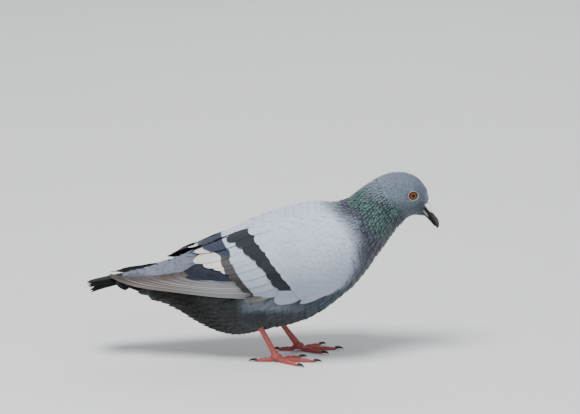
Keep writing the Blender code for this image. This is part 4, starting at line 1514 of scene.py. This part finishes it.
# The toes, as in the solids: heading towards the outer side, and how far from the palm they end.
TOES = {
    "inner": (-36.0, 25.0), "middle": (0.0, 34.1), "outer": (38.0, 27.0), "hind": (174.0, 18.1),
}
FOOT_TURN = 5.0
PALM_HEIGHT, TOE_HEIGHT = 4.6, 2.2
SHANK_PLATE, TOE_PLATE = 2.8, 2.1  # lengths of the horny plates
PLATE_GROOVE = 0.20
KNUCKLE_RADII = (3.0, 2.1, 2.0)
LEG_CELL = 0.42  # the fineness of the leg's skin
SOLE_HEIGHT = 0.02
CLAW_LENGTH = 7.0
CLAW_RADIUS, CLAW_TIP_RADIUS = 1.35, 0.22
CLAW_BEND = 1.25  # radians
CLAW_ROOT, CLAW_POINT = linear("#4a4341"), linear("#191817")


def leg_lines(name, side):
    """The leg's bones as straight lines: ankle to palm, then each toe; with the plates' lengths."""
    low, high = node_box("shank_" + name)
    palm = np.array([high[0] - 5.4, (low[1] + high[1]) / 2, PALM_HEIGHT])
    ankle = np.array([low[0] + 3.2, palm[1], high[2] - 2.2])
    level = np.array([palm[0], palm[1], TOE_HEIGHT])
    lines = [(ankle, palm, SHANK_PLATE)]
    for heading, end in TOES.values():
        turn = math.radians(side * (heading + FOOT_TURN))
        way = np.array([math.cos(turn), math.sin(turn), 0.0])
        lines.append((level + way * 2.0, level + way * end, TOE_PLATE))
    return lines


def knuckle(middle, way, sides=16, rows=9):
    """An ellipsoid along a level direction, which fills the joint between palm and toe."""
    long, wide, tall = KNUCKLE_RADII
    turn = full_turn(sides)
    rings = []
    for polar in np.linspace(0.1, math.pi - 0.1, rows):
        flat = left_of(way) * (wide * math.sin(polar) * np.cos(turn))[:, None]
        ring = way * long * math.cos(polar) + flat
        rings.append(middle + (ring + UP * (tall * math.sin(polar) * np.sin(turn))[:, None]))
    return loft_grid(rings)


def leg_solids(names, lines):
    """Points, in metres, and faces of the leg's solids, with a knuckle at each toe's root."""
    points, faces = [], []
    for part in names:
        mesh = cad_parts[part].data
        faces += [[corner + len(points) for corner in face.vertices] for face in mesh.polygons]
        points += values_of(mesh.vertices, "co", 3).tolist()
    for start, end, _ in lines[1:]:
        way = unit(end - start)
        ball, quads = knuckle(start + way * 3.6 + (0, 0, -0.1), way)
        faces += (quads + len(points)).tolist()
        points += (ball * MM).tolist()
    return points, faces


def one_skin(name, points, faces):
    """A mesh that wraps all of them as a single smooth skin."""
    mesh = bpy.data.meshes.new(name)
    mesh.from_pydata(points, [], faces)
    rough = add_object("rough", mesh)
    remesh = rough.modifiers.new("one skin", "REMESH")
    remesh.mode, remesh.voxel_size = "VOXEL", LEG_CELL * MM
    smooth = rough.modifiers.new("soft", "SMOOTH")
    smooth.factor, smooth.iterations = 0.5, 5
    graph = bpy.context.evaluated_depsgraph_get()
    made = bpy.data.meshes.new_from_object(rough.evaluated_get(graph))
    bpy.data.objects.remove(rough)
    made.name = name
    return made


def plate_joints(points, lines):
    """How far each point lies in a joint between two plates, from 0 to 1."""
    best, joint = np.full(len(points), np.inf), np.zeros(len(points))
    for start, end, plate in lines:
        length = np.linalg.norm(end - start)
        axis = (end - start) / length
        along = (points - start) @ axis
        off = points - (start + np.clip(along, 0, length)[:, None] * axis)
        distance = np.linalg.norm(off, axis=1)
        # The plates lie down the shank's front and along the toes' tops.
        upright = abs(axis[2]) > 0.5
        front = np.array([axis[2], 0, -axis[0]]) * np.sign(axis[2]) if upright else UP
        facing = (off @ front) / np.maximum(distance, 0.1)
        gap = abs(np.mod(along / plate, 1) - 0.5) * 2
        closer = distance < best
        best[closer] = distance[closer]
        joint[closer] = (ramp(gap, 0.72, 1.0) * ramp(facing, -0.1, 0.35))[closer]
    return joint


def leg(name, side, look):
    """The bare leg and foot as one skin with raised plates."""
    lines = leg_lines(name, side)
    names = ["shank_" + name] + ["toe_" + name + "_" + toe for toe in TOES]
    mesh = one_skin("leg_skin_" + name, *leg_solids(names, lines))
    points, normals = (values_of(mesh.vertices, key, 3) for key in ("co", "normal"))
    points = points / MM
    joint = plate_joints(points, lines)
    points = points - normals * (PLATE_GROOVE * joint)[:, None]
    points[:, 2] = np.maximum(points[:, 2], SOLE_HEIGHT)
    mesh.vertices.foreach_set("co", (points * MM).astype(np.float32).ravel())
    mesh.attributes.new("joint", "FLOAT", "POINT").data.foreach_set("value", joint)
    mesh.shade_smooth()
    mesh.materials.clear()
    mesh.materials.append(look)
    finish_piece(add_object("leg_skin_" + name, mesh), "leg_skin", *names)


def claw(root, way):
    """Points and quads of a curved claw from its root along a level direction."""
    turn = full_turn(16)
    rings = []
    for t in np.linspace(0, 1, 12):
        radius = CLAW_RADIUS * (1 - t) ** 0.8 + CLAW_TIP_RADIUS
        along = CLAW_LENGTH * math.sin(CLAW_BEND * t) / math.sin(CLAW_BEND) - 0.6 * (1 - t)
        middle = root + way * along
        middle[2] = 1.95 + 0.5 * math.sin(math.pi * t) - 1.3 * t**2
        flat = left_of(way) * (0.75 * radius * np.cos(turn))[:, None]
        rings.append(middle + flat + UP * (radius * np.sin(turn))[:, None])
    return loft_grid(rings)


def claws(name, side, horn):
    """Four curved claws that go on from the toes."""
    parts, faces, tints, count = [], [], [], 0
    for start, end, _ in leg_lines(name, side)[1:]:
        way = unit(end - start)
        points, quads = claw(end, way)
        share = np.clip((points - end) @ way / CLAW_LENGTH, 0, 1)
        parts.append(points)
        faces.append(quads + count)
        tints.append(mix(CLAW_ROOT, CLAW_POINT, ramp(share, 0, 0.6)))
        count += len(points)
    piece = mesh_piece("claws_" + name, np.concatenate(parts), np.concatenate(faces)[:, ::-1], horn)
    paint(piece.data, "tint", np.concatenate(tints))
    finish_piece(piece, "claw_horn", *("claw_" + name + "_" + toe for toe in TOES))


camera()
stage()
skin()
soft = feather("body_feather", roughness=0.62, barb_mm=0.8, depth=0.12)
hackle = feather("neck_hackle", roughness=0.38, barb_mm=0.7, depth=0.15, sheen=0.3)
firm = feather("covert_feather", roughness=0.55, barb_mm=0.9, depth=0.10)
marked = feather("barred_feather", roughness=0.55, barb_mm=0.9, depth=0.10, sheen=0.05, marked=True)
quill = feather("quill_feather", roughness=0.48, barb_mm=0.9, depth=0.12, sheen=0.03, marked=True)
head_coat(soft)
forehead(soft)
neck_coat(hackle)
body_coat(soft)
mantle(firm)
thigh_coat(soft)
tail(quill)
wet, lid_skin = eyeball_look(), rim_look()
bill(horn_look("bill_horn_sheath", roughness=0.38))
claw_horn, scaled_skin = horn_look("claw_horn_sheath", roughness=0.35), leg_look()
for name, side in SIDES.items():
    primaries(name, side, quill)
    secondaries(name, side, marked)
    greater_coverts(name, side, marked)
    coverts(name, side, firm)
    eyeball(name, side, wet)
    eyelids(name, side, lid_skin)
    leg(name, side, scaled_skin)
    claws(name, side, claw_horn)
far_tertials(quill)
